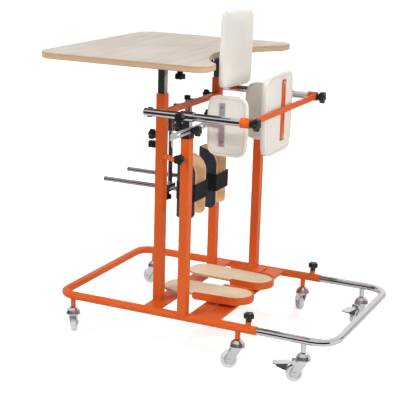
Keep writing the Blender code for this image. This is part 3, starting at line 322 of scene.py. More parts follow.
def facing_up(tree, start, end):
    """Nought to one as the facets turn from start to end, both heights of their normal."""
    parts = node(tree, "ShaderNodeSeparateXYZ")
    wire(tree, node(tree, "ShaderNodeNewGeometry").outputs["True Normal"], parts.inputs["Vector"])
    return remap(tree, parts.outputs["Z"], 0.0, 1.0, start, end)


def moulded(name, colour, rubbed, clean, dull, relief_scale, relief, spread=0.05, wear=0.5, metallic=0.0,
            painted_shade_sides=None, **constants):
    """Painted, plated or moulded surface: tone drift, rubbed edges, dulled gloss, fine relief, and painted
    shade on facets that do not face up where a side colour is given.
    """
    material, tree, shader = finish(name, metallic, **constants)
    drift = place_effect(tree, DRIFT, Colour=linear(*colour), Spread=spread)
    rub = place_effect(tree, RUB, Rubbed=linear(*rubbed), Amount=wear)
    wire(tree, drift.outputs["Colour"], rub.inputs["Colour"])
    shown = rub.outputs["Colour"]
    # Facets that do not face up take the darker colour: painted shade on the sides.
    if painted_shade_sides:
        dark = place_effect(tree, DRIFT, Colour=linear(*painted_shade_sides), Spread=0.1, Scale=60.0)
        shown = blend_colours(tree, facing_up(tree, 0.45, 0.75), dark.outputs["Colour"], shown)
    wire(tree, shown, shader.inputs["Base Color"])
    gloss(tree, shader, clean, dull)
    bump(tree, shader, place_effect(tree, RELIEF, Scale=relief_scale).outputs["Height"], relief, 0.0004)
    return material


# %% Paint, plate and plastics
POWDER_COAT = moulded("orange_powder_coat", (217, 93, 31), (232, 134, 84), clean=0.36, dull=0.50,
                      relief_scale=700.0, relief=0.10, spread=0.035, wear=0.45, Specular_IOR_Level=0.28)
CHROME = moulded("bright_chrome", (206, 206, 210), (226, 226, 228), clean=0.05, dull=0.14,
                 relief_scale=500.0, relief=0.01, spread=0.02, wear=0.2, metallic=1.0)
SATIN = moulded("satin_chrome", (220, 219, 220), (232, 232, 233), clean=0.36, dull=0.46,
                relief_scale=420.0, relief=0.03, spread=0.03, wear=0.3, metallic=0.75)
# The knee rods wear a darker copy of the chrome: painted shade, standing for the dim room that their tops
# mirror.
SHADED_ROD_CHROME = moulded("rod_chrome_painted_shade", (158, 153, 153), (182, 178, 178), clean=0.08, dull=0.18,
              relief_scale=500.0, relief=0.01, spread=0.02, wear=0.2, metallic=1.0)
ZINC = moulded("zinc_plate", (212, 212, 215), (228, 228, 230), clean=0.12, dull=0.24,
               relief_scale=420.0, relief=0.02, wear=0.4, metallic=1.0)
# The pedal's sides are coloured darker than its top, a painted shade.
TREAD = moulded("pedal_tread", (216, 216, 219), (230, 230, 232), clean=0.16, dull=0.28,
                relief_scale=420.0, relief=0.02, wear=0.4, metallic=1.0, painted_shade_sides=(78, 77, 77))
BLACK_PLASTIC = moulded("black_moulded_plastic", (20, 20, 22), (58, 58, 62), clean=0.34, dull=0.52,
                        relief_scale=1200.0, relief=0.10, spread=0.10)
WHEEL_PLASTIC = moulded("grey_wheel_plastic", (219, 220, 222), (186, 186, 186), clean=0.36, dull=0.55,
                        relief_scale=800.0, relief=0.08)
HARD = (POWDER_COAT, CHROME, SATIN, SHADED_ROD_CHROME, ZINC, TREAD, BLACK_PLASTIC, WHEEL_PLASTIC)
print("finishes", [made.name for made in HARD])

# %% [markdown]
# The board is oak laminate above, brown backing paper below, with a tan edge band. The foot plates are birch
# plywood whose cut edge shows layers. One material can do all this: the normal of each facet says whether a
# spot is a level face, which is shaded dead flat, or an edge.


# %% Boards
LEVEL, given, result = effect("level_faces", {}, {"Face": "Float", "Normal": "Vector"})
facet = node(LEVEL, "ShaderNodeNewGeometry")
parts = node(LEVEL, "ShaderNodeSeparateXYZ")
wire(LEVEL, facet.outputs["True Normal"], parts.inputs["Vector"])
level = remap(LEVEL, arithmetic(LEVEL, "ABSOLUTE", parts.outputs["Z"], 0.0), 0.0, 1.0, 0.35, 0.75)
chosen = node(LEVEL, "ShaderNodeMix", data_type="VECTOR")
wire(LEVEL, level, chosen.inputs["Factor"])
wire(LEVEL, facet.outputs["Normal"], chosen.inputs[4])
wire(LEVEL, facet.outputs["True Normal"], chosen.inputs[5])
wire(LEVEL, level, result.inputs["Face"])
wire(LEVEL, chosen.outputs[1], result.inputs["Normal"])


def board(name, light, dark, stretch, contrast, edge_light, edge_dark, pitch, dull=0.56, backing=None):
    material, tree, shader = finish(name)
    grain = place_effect(tree, GRAIN, Light=linear(*light), Dark=linear(*dark), Stretch=stretch,
                         Contrast=contrast)
    layers = place_effect(tree, LAYERS, Light=linear(*edge_light), Dark=linear(*edge_dark), Pitch=pitch)
    flat = place_effect(tree, LEVEL)
    mixed = blend_colours(tree, flat.outputs["Face"], layers.outputs["Colour"], grain.outputs["Colour"])
    if backing:
        paper = place_effect(tree, DRIFT, Colour=linear(*backing), Spread=0.12, Scale=40.0)
        mixed = blend_colours(tree, facing_up(tree, -0.8, -0.5), paper.outputs["Colour"], mixed)
    drift = place_effect(tree, DRIFT, Spread=0.03, Scale=3.0)
    wire(tree, mixed, drift.inputs["Colour"])
    wire(tree, drift.outputs["Colour"], shader.inputs["Base Color"])
    gloss(tree, shader, 0.40, dull, 5.0)
    bump(tree, shader, grain.outputs["Height"], 0.12, 0.0004, flat.outputs["Normal"])
    return material


OAK = board("oak_board", (203, 192, 181), (179, 165, 151), stretch=(60.0, 5.0, 60.0), contrast=0.75,
            edge_light=(204, 170, 136), edge_dark=(192, 155, 119), pitch=0.02, backing=(104, 84, 70))
BIRCH = board("birch_ply", (230, 207, 178), (208, 178, 142), stretch=(7.0, 70.0, 70.0), contrast=0.6,
              edge_light=(226, 192, 152), edge_dark=(150, 104, 66), pitch=0.0016, dull=0.58)
# The tan inside the knee cups is lighter than the ply's own colour: painted light that lifts the shade inside
# the cups.
TAN_PLY = board("tan_shell_painted_light", (253, 221, 182), (240, 199, 153), stretch=(70.0, 70.0, 6.0), contrast=0.6,
                edge_light=(253, 221, 182), edge_dark=(240, 199, 153), pitch=0.03)
print("boards", OAK.name, BIRCH.name, TAN_PLY.name)

# %% [markdown]
# Vinyl is a soft plastic skin with a pebbled grain and a low sheen. The cup covers are a duller foam-backed
# cloth, and the strap is webbing: fine diagonal ribs that run along the band.


# %% Soft finishes
def skin(name, colour, clean, dull, scale, relief, spread, **constants):
    material, tree, shader = finish(name, **constants)
    drift = place_effect(tree, DRIFT, Colour=linear(*colour), Spread=spread, Scale=14.0)
    wire(tree, drift.outputs["Colour"], shader.inputs["Base Color"])
    gloss(tree, shader, clean, dull, 12.0)
    bump(tree, shader, place_effect(tree, RELIEF, Scale=scale, Cells=0.7).outputs["Height"], relief, 0.0006)
    return material


VINYL = skin("cream_vinyl", (231, 227, 218), clean=0.42, dull=0.58, scale=620.0, relief=0.18, spread=0.025,
             Sheen_Weight=0.08)
WELT = skin("cream_welt", (214, 208, 197), clean=0.45, dull=0.60, scale=620.0, relief=0.18, spread=0.03)
FOAM_COVER = skin("dark_foam_cover", (55, 58, 66), clean=0.72, dull=0.88, scale=900.0, relief=0.35,
                  spread=0.08)

WEAVE, given, result = effect(
    "rib_weave",
    {"Colour": "Color", "Glint": "Color", "Scale": 260.0},
    {"Colour": "Color", "Height": "Float"})
ribs = node(WEAVE, "ShaderNodeTexWave", wave_type="BANDS", bands_direction="DIAGONAL")
wire(WEAVE, own_coordinates(WEAVE), ribs.inputs["Vector"])
wire(WEAVE, given.outputs["Scale"], ribs.inputs["Scale"])
ribs.inputs["Distortion"].default_value = 1.2
glinting = blend_colours(WEAVE, ribs.outputs["Fac"], given.outputs["Colour"], given.outputs["Glint"])
wire(WEAVE, glinting, result.inputs["Colour"])
wire(WEAVE, ribs.outputs["Fac"], result.inputs["Height"])

WEBBING, tree, shader = finish("black_webbing", Specular_IOR_Level=0.25)
weave = place_effect(tree, WEAVE, Colour=linear(15, 15, 17), Glint=linear(31, 31, 35))
wire(tree, weave.outputs["Colour"], shader.inputs["Base Color"])
gloss(tree, shader, 0.62, 0.8)
bump(tree, shader, weave.outputs["Height"], 0.5, 0.0005)
print("soft finishes", VINYL.name, WELT.name, FOAM_COVER.name, WEBBING.name)

# %% [markdown]
# Every solid of the frame says in the record what it is made of, so the finishes go on by that name.

# %% Give the solids their finishes
BY_SLOT = {"orange_paint": POWDER_COAT, "chrome": CHROME, "zinc": ZINC, "black_plastic": BLACK_PLASTIC,
           "wheel_plastic": WHEEL_PLASTIC, "oak_laminate": OAK, "birch": BIRCH, "tan_ply": TAN_PLY,
           "vinyl": VINYL, "foam": FOAM_COVER}
# The knee rods take the darker chrome, whose colour is painted shade.
OWN_FINISH = {"hip_arm": SATIN, "brake_pedal": TREAD, "knee_rod": SHADED_ROD_CHROME}
SPECIAL = {f"{stem}_{side_name}": look for stem, look in OWN_FINISH.items() for side_name in SIDES}
for part in frame["record"]["subparts"]:
    mesh = frame["nodes"][part["node"]].data
    mesh.materials.clear()
    mesh.materials.append(SPECIAL.get(part["node"], BY_SLOT[part["material_slot"]]))

# %% [markdown]
# ## Table board
# At the board's far tip one point of the softened edge runs past its neighbours, and a sliver of the solid
# folds over. The board shown is a copy of that solid, with such a point put back between its neighbours.


# %% Mend a folded rim
def unfolded(node_name):
    """Copy of a level board in which no facet of a face looks the wrong way."""
    source = frame["nodes"][node_name].data
    bm = bmesh.new()
    verts = [bm.verts.new(vert.co) for vert in source.vertices]
    for poly in source.polygons:
        bm.faces.new([verts[k] for k in poly.vertices])
    bmesh.ops.remove_doubles(bm, verts=bm.verts, dist=1e-6)
    bm.normal_update()
    low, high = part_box(node_name)
    mended = 0
    for level, up in ((high.z, 1), (low.z, -1)):
        flat = {face for face in bm.faces if all(abs(vert.co.z - level) < 1e-5 for vert in face.verts)}
        for face in [face for face in flat if face.normal.z * up < 0]:
            stray = max(face.verts, key=lambda vert: vert.co.x)
            spokes = [edge for edge in stray.link_edges if sum(side in flat for side in edge.link_faces) == 1]
            rim = [edge.other_vert(stray) for edge in spokes]
            stray.co = sum((vert.co for vert in rim), Vector()) / len(rim)
            mended += 1
    print("mended", mended, "in", node_name)
    return mesh_from(bm, f"board_{node_name}")


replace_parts(new_piece("board_table_top", unfolded("table_top"), OAK, "table"), "table_top")

# %% [markdown]
# ## Outlines
# Most bought-in pieces are stacks of outlines: a plan at one height, another at the next, and so on, joined
# ring by ring and closed at both ends.


# %% Outlines drawn to a height
def rounded_box(half_x, half_y, radius, steps=4):
    """Plan of a box with round corners."""
    points = []
    for corner, (sx, sy) in enumerate(((1, 1), (-1, 1), (-1, -1), (1, -1))):
        for step in range(steps + 1):
            angle = math.pi / 2 * (corner + step / steps)
            x = sx * (half_x - radius) + radius * math.cos(angle)
            y = sy * (half_y - radius) + radius * math.sin(angle)
            points.append((x, y))
    return points


def circle(radius, count=32):
    angles = [2 * math.pi * step / count for step in range(count)]
    return [(radius * math.cos(angle), radius * math.sin(angle)) for angle in angles]


def stacked(levels):
    """Closed form through outlines of equal count, each at its height."""
    bm = bmesh.new()
    loops = [[bm.verts.new((x, y, z)) for x, y in outline] for outline, z in levels]
    count = len(loops[0])
    for below, above in zip(loops, loops[1:]):
        for step in range(count):
            ahead = (step + 1) % count
            bm.faces.new((below[step], below[ahead], above[ahead], above[step]))
    bm.faces.new(loops[0][::-1])
    bm.faces.new(loops[-1])
    return bm


# %% [markdown]
# ## Star knobs
# Each setting is locked by a black star knob. Its grip has five soft lobes, a rounded rim and a shallow dish
# with a cap over the screw. A stack of rings, each a wavy circle of its own size and height, gives that form.
# Ten knobs turn on their own and stand for their solids; the others cover the knobs that their carriers hold.

# %% A knob from rings
KNOB_R, KNOB_WAVE, LOBES = 0.017, 0.0022, 5
HUB_R, HUB, HEAD = 0.009, 0.012, 0.016
OVER = 0.0006
RING_POINTS = 40


def wavy(radius, wave):
    """Plan of one ring of the grip: a circle drawn in between its lobes."""
    points = []
    for step in range(RING_POINTS):
        angle = 2 * math.pi * step / RING_POINTS
        reach = radius - wave * KNOB_WAVE * (1 - math.cos(LOBES * angle))
        points.append((reach * math.cos(angle), reach * math.sin(angle)))
    return points


def knob_rings(hub_low):
    """Rings from the hub's foot to the middle of the cap: (radius, wave, height)."""
    top = HUB + HEAD + OVER
    rim = KNOB_R + OVER
    rings = [(HUB_R + OVER, 0.0, hub_low), (HUB_R + OVER, 0.0, HUB - 0.003),
             (HUB_R + 0.0015, 0.2, HUB - OVER), (rim - 0.0014, 0.9, HUB - OVER),
             (rim, 1.0, HUB + 0.0012), (rim + 0.0002, 1.0, HUB + HEAD * 0.5),
             (rim, 1.0, top - 0.0022), (rim - 0.0009, 1.0, top - 0.0006), (rim - 0.0026, 0.9, top),
             (0.0088, 0.2, top), (0.0078, 0.0, top - 0.0002), (0.0070, 0.0, top + 0.0004),
             (0.0035, 0.0, top + 0.0008)]
    return stacked([(wavy(radius, wave), height) for radius, wave, height in rings])


def set_knob(name, seat, axis, body, node_name=None, hub_low=0.0, wide=1.0):
    """A grip with its foot on the seat; hub_low takes the hub further down."""
    place = Matrix.Translation(seat) @ toward(axis) @ Matrix.Diagonal((wide, wide, 1.0, 1.0))
    obj = built_piece(name, knob_rings(hub_low), place, BLACK_PLASTIC, body, 50)
    if node_name:
        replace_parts(obj, node_name)


# %% [markdown]
# The ten loose knobs know their places from their own solids: the head is the far end along the axis. Their
# studs run inside the posts and sleeves, so only the grips are made here. Those on the gate are larger.

# %% Knobs that turn
GATE_WIDE = 1.2
TURNING = {"extension_knob": (0, 0, 1), "table_height_knob": (-1, 0, 0), "hip_height_knob": None,
           "gate_knob": (1, 0, 0), "hip_arm_knob": (1, 0, 0)}
for stem, direction in TURNING.items():
    for side_name, side in SIDES.items():
        label = f"{stem}_{side_name}"
        axis = Vector(direction or (0, side, 0))
        low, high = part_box(label)
        middle = (low + high) / 2
        tip = max(low.dot(axis), high.dot(axis))
        seat = middle + axis * (tip - HUB - HEAD - middle.dot(axis))
        set_knob(f"grip_{label}", seat, axis, label, label, wide=GATE_WIDE if stem == "gate_knob" else 1.0)
print("turning knobs", 2 * len(TURNING))

# %% Knobs held by their carriers
POST_Y, POST_FRONT, POST_HALF, POST_KNOB_Z = 0.2155, 0.337, 0.015, 0.7147
POLE_X, POLE_Y, POLE_R = 0.293, 0.061, 0.008
SLEEVE_R, SLEEVE_LOW, SLEEVE_HIGH = 0.0125, 0.700, 0.745
RAIL_Y, SIDE_TUBE_Z = 0.300, 0.804
TUBE_KNOB_X, TUBE_CLAMP_HALF = 0.459, 0.0165
ROD_Y, ROD_Z, ROD_CLAMP_HALF = 0.085, 0.5055, 0.0125
PLATE_GAP, PLATE_THICK = 0.0003, 0.005
PLATE_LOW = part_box("table_top")[0].z - PLATE_GAP - PLATE_THICK
DEPTH_X, DEPTH_SPACER = 0.398, 0.016
CHEST_KNOB_X = 0.405
LEG_HALF, LEG_KNOB_RISE = 0.0117, 0.018
POST_REAR_X, COLLAR_LOW, COLLAR_HIGH = 0.470, 0.736, 0.751
STRIP_UNDER, FOOT_KNOB_DROP, SLOT_X = 0.1407, 0.010, 0.532
FOOT_Y = {"near": -0.127, "far": 0.058}
SEAT_GAP = 0.0002
FORWARD, DOWN = (-1, 0, 0), (0, 0, -1)
for side_name, side in SIDES.items():
    sleeve_middle = (SLEEVE_LOW + SLEEVE_HIGH) / 2
    leg_knob_z = COLLAR_HIGH + LEG_KNOB_RISE
    tube_clamp_y = side * (RAIL_Y + TUBE_CLAMP_HALF)
    carried = {
        "pole_knob": (at(POLE_X - SLEEVE_R, side * POLE_Y, sleeve_middle), FORWARD, "base", 0.0),
        "post_knob": (at(POST_FRONT - POST_HALF, side * POST_Y, POST_KNOB_Z), FORWARD, "base", 0.0),
        "depth_knob": (at(DEPTH_X, side * POST_Y, PLATE_LOW - DEPTH_SPACER), DOWN, "table_lift",
                       SEAT_GAP - DEPTH_SPACER),
        "tube_knob": (at(TUBE_KNOB_X, tube_clamp_y, SIDE_TUBE_Z), (0, side, 0), "hip_frame", 0.0),
        "leg_knob": (at(POST_REAR_X - LEG_HALF, side * RAIL_Y, leg_knob_z), FORWARD, "hip_frame", 0.0),
        "rod_knob": (at(POLE_X, side * ROD_Y, ROD_Z - ROD_CLAMP_HALF), DOWN, f"knee_pole_{side_name}", 0.0),
        "foot_knob": (at(SLOT_X, FOOT_Y[side_name], STRIP_UNDER - FOOT_KNOB_DROP), DOWN, f"foot_{side_name}",
                      SEAT_GAP - FOOT_KNOB_DROP)}
    for stem, (seat, axis, body, hub_low) in carried.items():
        set_knob(f"{stem}_{side_name}", seat, axis, body, hub_low=hub_low)
set_knob("chest_knob", at(CHEST_KNOB_X, 0.0, PLATE_LOW), DOWN, "chest_support")
print("carried knobs", 2 * len(carried) + 1)

# %% [markdown]
# ## Collars, sleeves and plugs
# Moulded collars close the rear posts round the sliding legs, plated sleeves on a hanger strip guide the knee
# poles, and black plugs close the tube ends. All are stacked outlines with softened edges.

# %% Post collars
SKIN, SOFT, LIP = 0.0005, 0.0012, 0.0004
COLLAR_HALF, COLLAR_CORNER = 0.0165 + SKIN, 0.003
outer = rounded_box(COLLAR_HALF, COLLAR_HALF, COLLAR_CORNER)
shoulder = rounded_box(COLLAR_HALF - SOFT, COLLAR_HALF - SOFT, COLLAR_CORNER)
inner = rounded_box(LEG_HALF + SKIN, LEG_HALF + SKIN, SOFT)
lip = rounded_box(POST_HALF + LIP, POST_HALF + LIP, SOFT)
collar = [(lip, COLLAR_LOW - SOFT), (outer, COLLAR_LOW - 2 * LIP), (outer, COLLAR_HIGH - SOFT),
          (shoulder, COLLAR_HIGH + SKIN), (inner, COLLAR_HIGH + SKIN), (inner, COLLAR_HIGH - 0.004)]
for side_name, side in SIDES.items():
    place = Matrix.Translation(at(POST_REAR_X, side * RAIL_Y, 0.0))
    built_piece(f"post_collar_{side_name}", stacked(collar), place, BLACK_PLASTIC, "base")
print("collars", len(SIDES))

# %% Pole sleeves, hangers and post lugs
SLEEVE_SOFT, SLEEVE_DEEP = 0.0008, 0.004
HANGER_LAP, HANGER_THICK, HANGER_HALF, HANGER_ROUND = 0.0015, 0.005, 0.0085, 0.003
HANGER_LOW, HANGER_HIGH = 0.7825, 0.7956
LUG_LOW, LUG_HIGH, LUG_SOFT, LUG_REACH = 0.6716, 0.6934, 0.0006, 0.0150
low, high = SLEEVE_LOW - SKIN, SLEEVE_HIGH + SKIN
wide, slim, hole = circle(SLEEVE_R + 0.0006), circle(SLEEVE_R - 0.0002), circle(POLE_R + 0.0006)
sleeve = [(hole, low + SLEEVE_DEEP), (hole, low), (slim, low), (wide, low + SLEEVE_SOFT),
          (wide, high - SLEEVE_SOFT), (slim, high), (hole, high), (hole, high - SLEEVE_DEEP)]
front = POLE_X + SLEEVE_R - HANGER_LAP
back = front + HANGER_THICK
face = POST_FRONT - POST_HALF - 0.0001
angle_iron = [(front, SLEEVE_LOW + SKIN), (back, SLEEVE_LOW + SKIN), (back, HANGER_LOW), (face, HANGER_LOW),
              (face, HANGER_HIGH), (front + HANGER_ROUND, HANGER_HIGH),
              (front + 0.3 * HANGER_ROUND, HANGER_HIGH - 0.3 * HANGER_ROUND),
              (front, HANGER_HIGH - HANGER_ROUND)]
lug = rounded_box(0.0152, 0.0094, 0.0016)
slim_lug = rounded_box(0.0152 - LUG_SOFT, 0.0094 - LUG_SOFT, 0.0016)
lug_levels = [(slim_lug, LUG_LOW), (lug, LUG_LOW + LUG_SOFT),
              (lug, LUG_HIGH - LUG_SOFT), (slim_lug, LUG_HIGH)]
for side_name, side in SIDES.items():
    place = Matrix.Translation(at(POLE_X, side * POLE_Y, 0.0))
    built_piece(f"pole_sleeve_{side_name}", stacked(sleeve), place, CHROME, "base")
    hanger = stacked([(angle_iron, -HANGER_HALF), (angle_iron, HANGER_HALF)])
    place = Matrix.Translation(at(0.0, side * POLE_Y, 0.0)) @ Matrix.Rotation(math.pi / 2, 4, "X")
    built_piece(f"pole_hanger_{side_name}", hanger, place, ZINC, "base")
    place = Matrix.Translation(at(POST_FRONT - POST_HALF - LUG_REACH, side * POST_Y, 0.0))
    built_piece(f"post_lug_{side_name}", stacked(lug_levels), place, BLACK_PLASTIC, "base")
print("sleeves, hangers and lugs", 3 * len(SIDES))

# %% Tube plugs
SIDE_TUBE_R, FLANGE = 0.0125, 0.0004
PLUG_PROFILE = ((0.86, -0.004), (0.86, 0.0), (1.0, 0.0001), (1.0, 0.0014), (0.9, 0.0026), (0.5, 0.0032))


def plug(name, place, radius, body):
    """Domed plug with a thin flange against the front end of a tube."""
    levels = [(circle(radius * share), height) for share, height in PLUG_PROFILE]
    place = Matrix.Translation(place) @ toward(FORWARD)
    built_piece(name, stacked(levels), place, BLACK_PLASTIC, body)


for side_name, side in SIDES.items():
    tube_end = Vector((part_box(f"side_tube_{side_name}")[0].x, side * RAIL_Y, SIDE_TUBE_Z))
    plug(f"tube_plug_{side_name}", tube_end, SIDE_TUBE_R + FLANGE, "side_tubes")
    rod_end = Vector((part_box(f"knee_rod_{side_name}")[0].x, side * ROD_Y, ROD_Z))
    plug(f"rod_plug_{side_name}", rod_end, POLE_R + FLANGE, f"knee_support_{side_name}")
print("plugs", 2 * len(SIDES))

# %% Cap of the far pole
CAP_LOW, CAP_HIGH = 0.7895, 0.8046
cap = [(circle(0.0104), CAP_LOW), (circle(0.0112), CAP_LOW + 0.0008), (circle(0.0112), CAP_HIGH - 0.0020),
       (circle(0.0102), CAP_HIGH - 0.0006), (circle(0.0078), CAP_HIGH)]
place = Matrix.Translation(at(POLE_X, POLE_Y, 0.0))
built_piece("pole_cap", stacked(cap), place, BLACK_PLASTIC, "knee_pole_far")
print("pole cap", 1)

# %% [markdown]
# ## Stuffed pads
# A pad is foam on a board, in a vinyl cover pulled tight. Blender's Cloth gives the fullness: the solid is
# remeshed finely, shrunk a little, and blown up with its back held still against the board. A cap keeps every
# point near the solid, so the pad stays in the room that the frame leaves it.

# %% Blow up a cover
VOXEL = 0.0050
SMOOTHING, RELAXING = 3, 8
SHRINK = 0.0015
SWELL_CAP = 0.0050
CROWN = 0.0025
BACK_HELD = 0.0040
CLOTH_FRAMES = 20
PRESSURE, CLOTH_QUALITY = 4.0, 6
EASE = {"chest_pad": (Vector((0.0, 0.0, -0.004)), Vector((0.002, 0.008, 0.0))),
        "rear_pad": (Vector((0.0, -0.012, 0.006)), Vector((0.0, 0.0, 0.006)))}


def pad_box(node_name):
    """The solid's box, eased where the cover is fuller than its foam."""
    low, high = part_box(node_name)
    less, more = EASE.get(node_name, (Vector(), Vector()))
    return low + less, high + more


def remeshed(source, name):
    """Fine even copy of a solid's mesh."""
    work = bpy.data.objects.new(name + "_work", source.data.copy())
    bpy.context.scene.collection.objects.link(work)
    remesh = work.modifiers.new("even", "REMESH")
    remesh.mode = "VOXEL"
    remesh.voxel_size = VOXEL
    bpy.context.view_layer.update()
    mesh = bpy.data.meshes.new_from_object(work.evaluated_get(bpy.context.evaluated_depsgraph_get()))
    bpy.data.objects.remove(work)
    return mesh


def smoothed(bm, verts, times):
    for _ in range(times):
        bmesh.ops.smooth_vert(bm, verts=verts, factor=0.5, use_axis_x=True, use_axis_y=True, use_axis_z=True)


def settle(mesh, back_axis, back_at):
    """Smooth the steps of the remesh, shrink all but the back, and lay the back flat."""
    bm = bmesh.new()
    bm.from_mesh(mesh)
    smoothed(bm, bm.verts, SMOOTHING)
    bm.normal_update()
    held = []
    for vert in bm.verts:
        if abs(vert.co[back_axis] - back_at) < BACK_HELD:
            vert.co[back_axis] = back_at
            held.append(vert.index)
        else:
            vert.co -= vert.normal * SHRINK
    bm.to_mesh(mesh)
    bm.free()
    return held


def relax(mesh, held):
    """Ease small creases out of the blown cover, but for its held back."""
    bm = bmesh.new()
    bm.from_mesh(mesh)
    fixed = set(held)
    smoothed(bm, [vert for vert in bm.verts if vert.index not in fixed], RELAXING)
    bm.to_mesh(mesh)
    bm.free()


def fit(mesh, low, high, back_axis):
    """Bring the cover's outline to the eased box, and keep its crown within the room it has."""
    for axis in range(3):
        values = [vert.co[axis] for vert in mesh.vertices]
        least, most = min(values), max(values)
        to_low, to_high = low[axis], high[axis]
        if axis == back_axis:
            to_low, to_high = max(least, to_low - CROWN), min(most, to_high + CROWN)
        share = (to_high - to_low) / (most - least)
        for vert in mesh.vertices:
            vert.co[axis] = to_low + (vert.co[axis] - least) * share


def blow_up(cover, held):
    """Let pressure fill the cover while its back is held, then cap and relax the swelling."""
    mesh = cover.data
    start = [vert.co.copy() for vert in mesh.vertices]
    pins = cover.vertex_groups.new(name="back")
    pins.add(held, 1.0, "REPLACE")
    cloth = cover.modifiers.new("cloth", "CLOTH")
    cloth.settings.use_pressure = True
    cloth.settings.uniform_pressure_force = PRESSURE
    cloth.settings.effector_weights.gravity = 0.0
    cloth.settings.vertex_group_mass = "back"
    cloth.settings.quality = CLOTH_QUALITY
    for step in range(1, CLOTH_FRAMES + 1):
        bpy.context.scene.frame_set(step)
    graph = bpy.context.evaluated_depsgraph_get()
    blown = [vert.co.copy() for vert in cover.evaluated_get(graph).data.vertices]
    cover.modifiers.remove(cloth)
    cover.vertex_groups.clear()
    bpy.context.scene.frame_set(1)
    for vert, before, after in zip(mesh.vertices, start, blown):
        move = after - before
        if move.length > SWELL_CAP:
            move *= SWELL_CAP / move.length
        vert.co = before + move
    relax(mesh, held)


def stuffed(node_name, body, back_axis, back_is_low):
    """Replace a pad's plain solid by a cover blown up over it."""
    low, high = pad_box(node_name)
    back_at = low[back_axis] if back_is_low else high[back_axis]
    mesh = remeshed(frame["nodes"][node_name], node_name)
    held = settle(mesh, back_axis, back_at)
    cover = new_piece(f"cover_{node_name}", mesh, VINYL, body)
    blow_up(cover, held)
    fit(mesh, low, high, back_axis)
    mesh.shade_smooth()
    smooth = cover.modifiers.new("finer", "SUBSURF")
    smooth.levels = smooth.render_levels = 1
    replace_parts(cover, node_name)
    return cover


PADS = {"chest_pad": ("chest_support", 0, True), "rear_pad": ("rear_support", 0, False),
        "hip_pad_near": ("hip_arm_near", 1, True), "hip_pad_far": ("hip_arm_far", 1, False)}
COVERS = {name: stuffed(name, *how) for name, how in PADS.items()}
for name, cover in COVERS.items():
    low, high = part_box(name)
    places = [vert.co for vert in cover.data.vertices]
    least, most = ([pick(place[k] for place in places) for k in range(3)] for pick in (min, max))
    below = [round((a - b) * 1000, 1) for a, b in zip(low, least)]
    above = [round((b - a) * 1000, 1) for a, b in zip(high, most)]
    print("cover", name, len(cover.data.vertices), "beyond the solid, mm", below, above)

# %% [markdown]
# The cover closes on the back, with a welted seam a finger's width inside the edge. The seam is a thin round
# line along a rounded rectangle, half sunk in the flat back.

# %% Welted seams
WELT_R, WELT_INSET = 0.0014, 0.011
WELT_CORNER = {"chest_pad": 0.018, "rear_pad": 0.026, "hip_pad_near": 0.026, "hip_pad_far": 0.026}
CHEST_LEAN = math.radians(2.5)
CHEST_SIZE = (0.222, 0.252)


def seam(node_name, body, back_axis, back_is_low):
    low, high = pad_box(node_name)
    middle = (low + high) / 2
    back_at = low[back_axis] if back_is_low else high[back_axis]
    across = 1 - back_axis
    width, height = high[across] - low[across], high.z - low.z
    lean = Matrix.Identity(3)
    if node_name == "chest_pad":
        width, height = CHEST_SIZE
        lean = Matrix.Rotation(-CHEST_LEAN, 3, "X")
    outline = rounded_box(width / 2 - WELT_INSET, height / 2 - WELT_INSET, WELT_CORNER[node_name], 8)
    curve = bpy.data.curves.new(f"seam_{node_name}", "CURVE")
    curve.dimensions = "3D"
    curve.bevel_depth = WELT_R
    curve.bevel_resolution = 2
    spline = curve.splines.new("POLY")
    spline.points.add(len(outline) - 1)
    spline.use_cyclic_u = True
    for knot, (u, v) in zip(spline.points, outline):
        place = Vector((0.0, 0.0, v))
        place[across] = u
        place = lean @ place + middle
        place[back_axis] = back_at
        knot.co = (*place, 1.0)
    return new_piece(f"seam_{node_name}", curve, WELT, body)


SEAMS = [seam(name, *how) for name, how in PADS.items()]
print("seams", len(SEAMS))

# %% [markdown]
# ## Knee cups
# A knee cup is a bent shell: tan inside, a dark foam-backed cover outside, and a webbing strap round it.
# The cover is a grid bent along the plan of the cup, with arched ends, thickened inwards and softened.

# %% Cup covers
CUP_FRONT, CUP_REAR, CUP_LOW, CUP_HIGH = 0.345, 0.424, 0.417, 0.633
CUP_HALF, CUP_WALL, CUP_BEND = 0.048, 0.007, 0.028
ARCH_TOP, ARCH_LOW = 0.060, 0.022
FLUSH, SET_BACK, SET_DOWN, SET_UP, WING_GAP = 0.0034, 0.0046, 0.0022, 0.0020, 0.0008
ROWS = 14


def cup_plan(offset, rear, spacing=0.005, bend_steps=8):
    """Points along the cup's plan, from the near wing's end round the front to the far wing's end."""
    half, front, bend = CUP_HALF + offset, CUP_FRONT - offset, CUP_BEND + offset
    run = rear - (front + bend)
    count = max(2, round(run / spacing))
    points = [(rear - run * step / count, -half) for step in range(count)]
    for corner_y, begin in ((-(half - bend), 270), (half - bend, 180)):
        for step in range(bend_steps + 1):
            angle = math.radians(begin - 90 * step / bend_steps)
            points.append((front + bend + bend * math.cos(angle), corner_y + bend * math.sin(angle)))
    points += [(front + bend + run * step / count, half) for step in range(1, count + 1)]
    return points


def arch(x, radius, rear):
    """How far the arched end has come in at this place along the cup."""
    over = min(x - (rear - radius), radius)
    return radius - math.sqrt(radius ** 2 - over ** 2) if over > 0 else 0.0


def column(x, y, low, high, rows):
    """Points up one line of a bent sheet, at a place measured from the front bar."""
    place = at(x, y, 0.0)
    return [(place.x, place.y, low + (high - low) * row / rows) for row in range(rows + 1)]


def bent_sheet(columns, closed=False):
    """Grid through columns of points; a closed one joins its two ends."""
    bm = bmesh.new()
    lines = [[bm.verts.new(point) for point in points] for points in columns]
    for left, right in zip(lines, lines[1:] + (lines[:1] if closed else [])):
        for row in range(len(left) - 1):
            bm.faces.new((left[row], right[row], right[row + 1], left[row + 1]))
    return bm


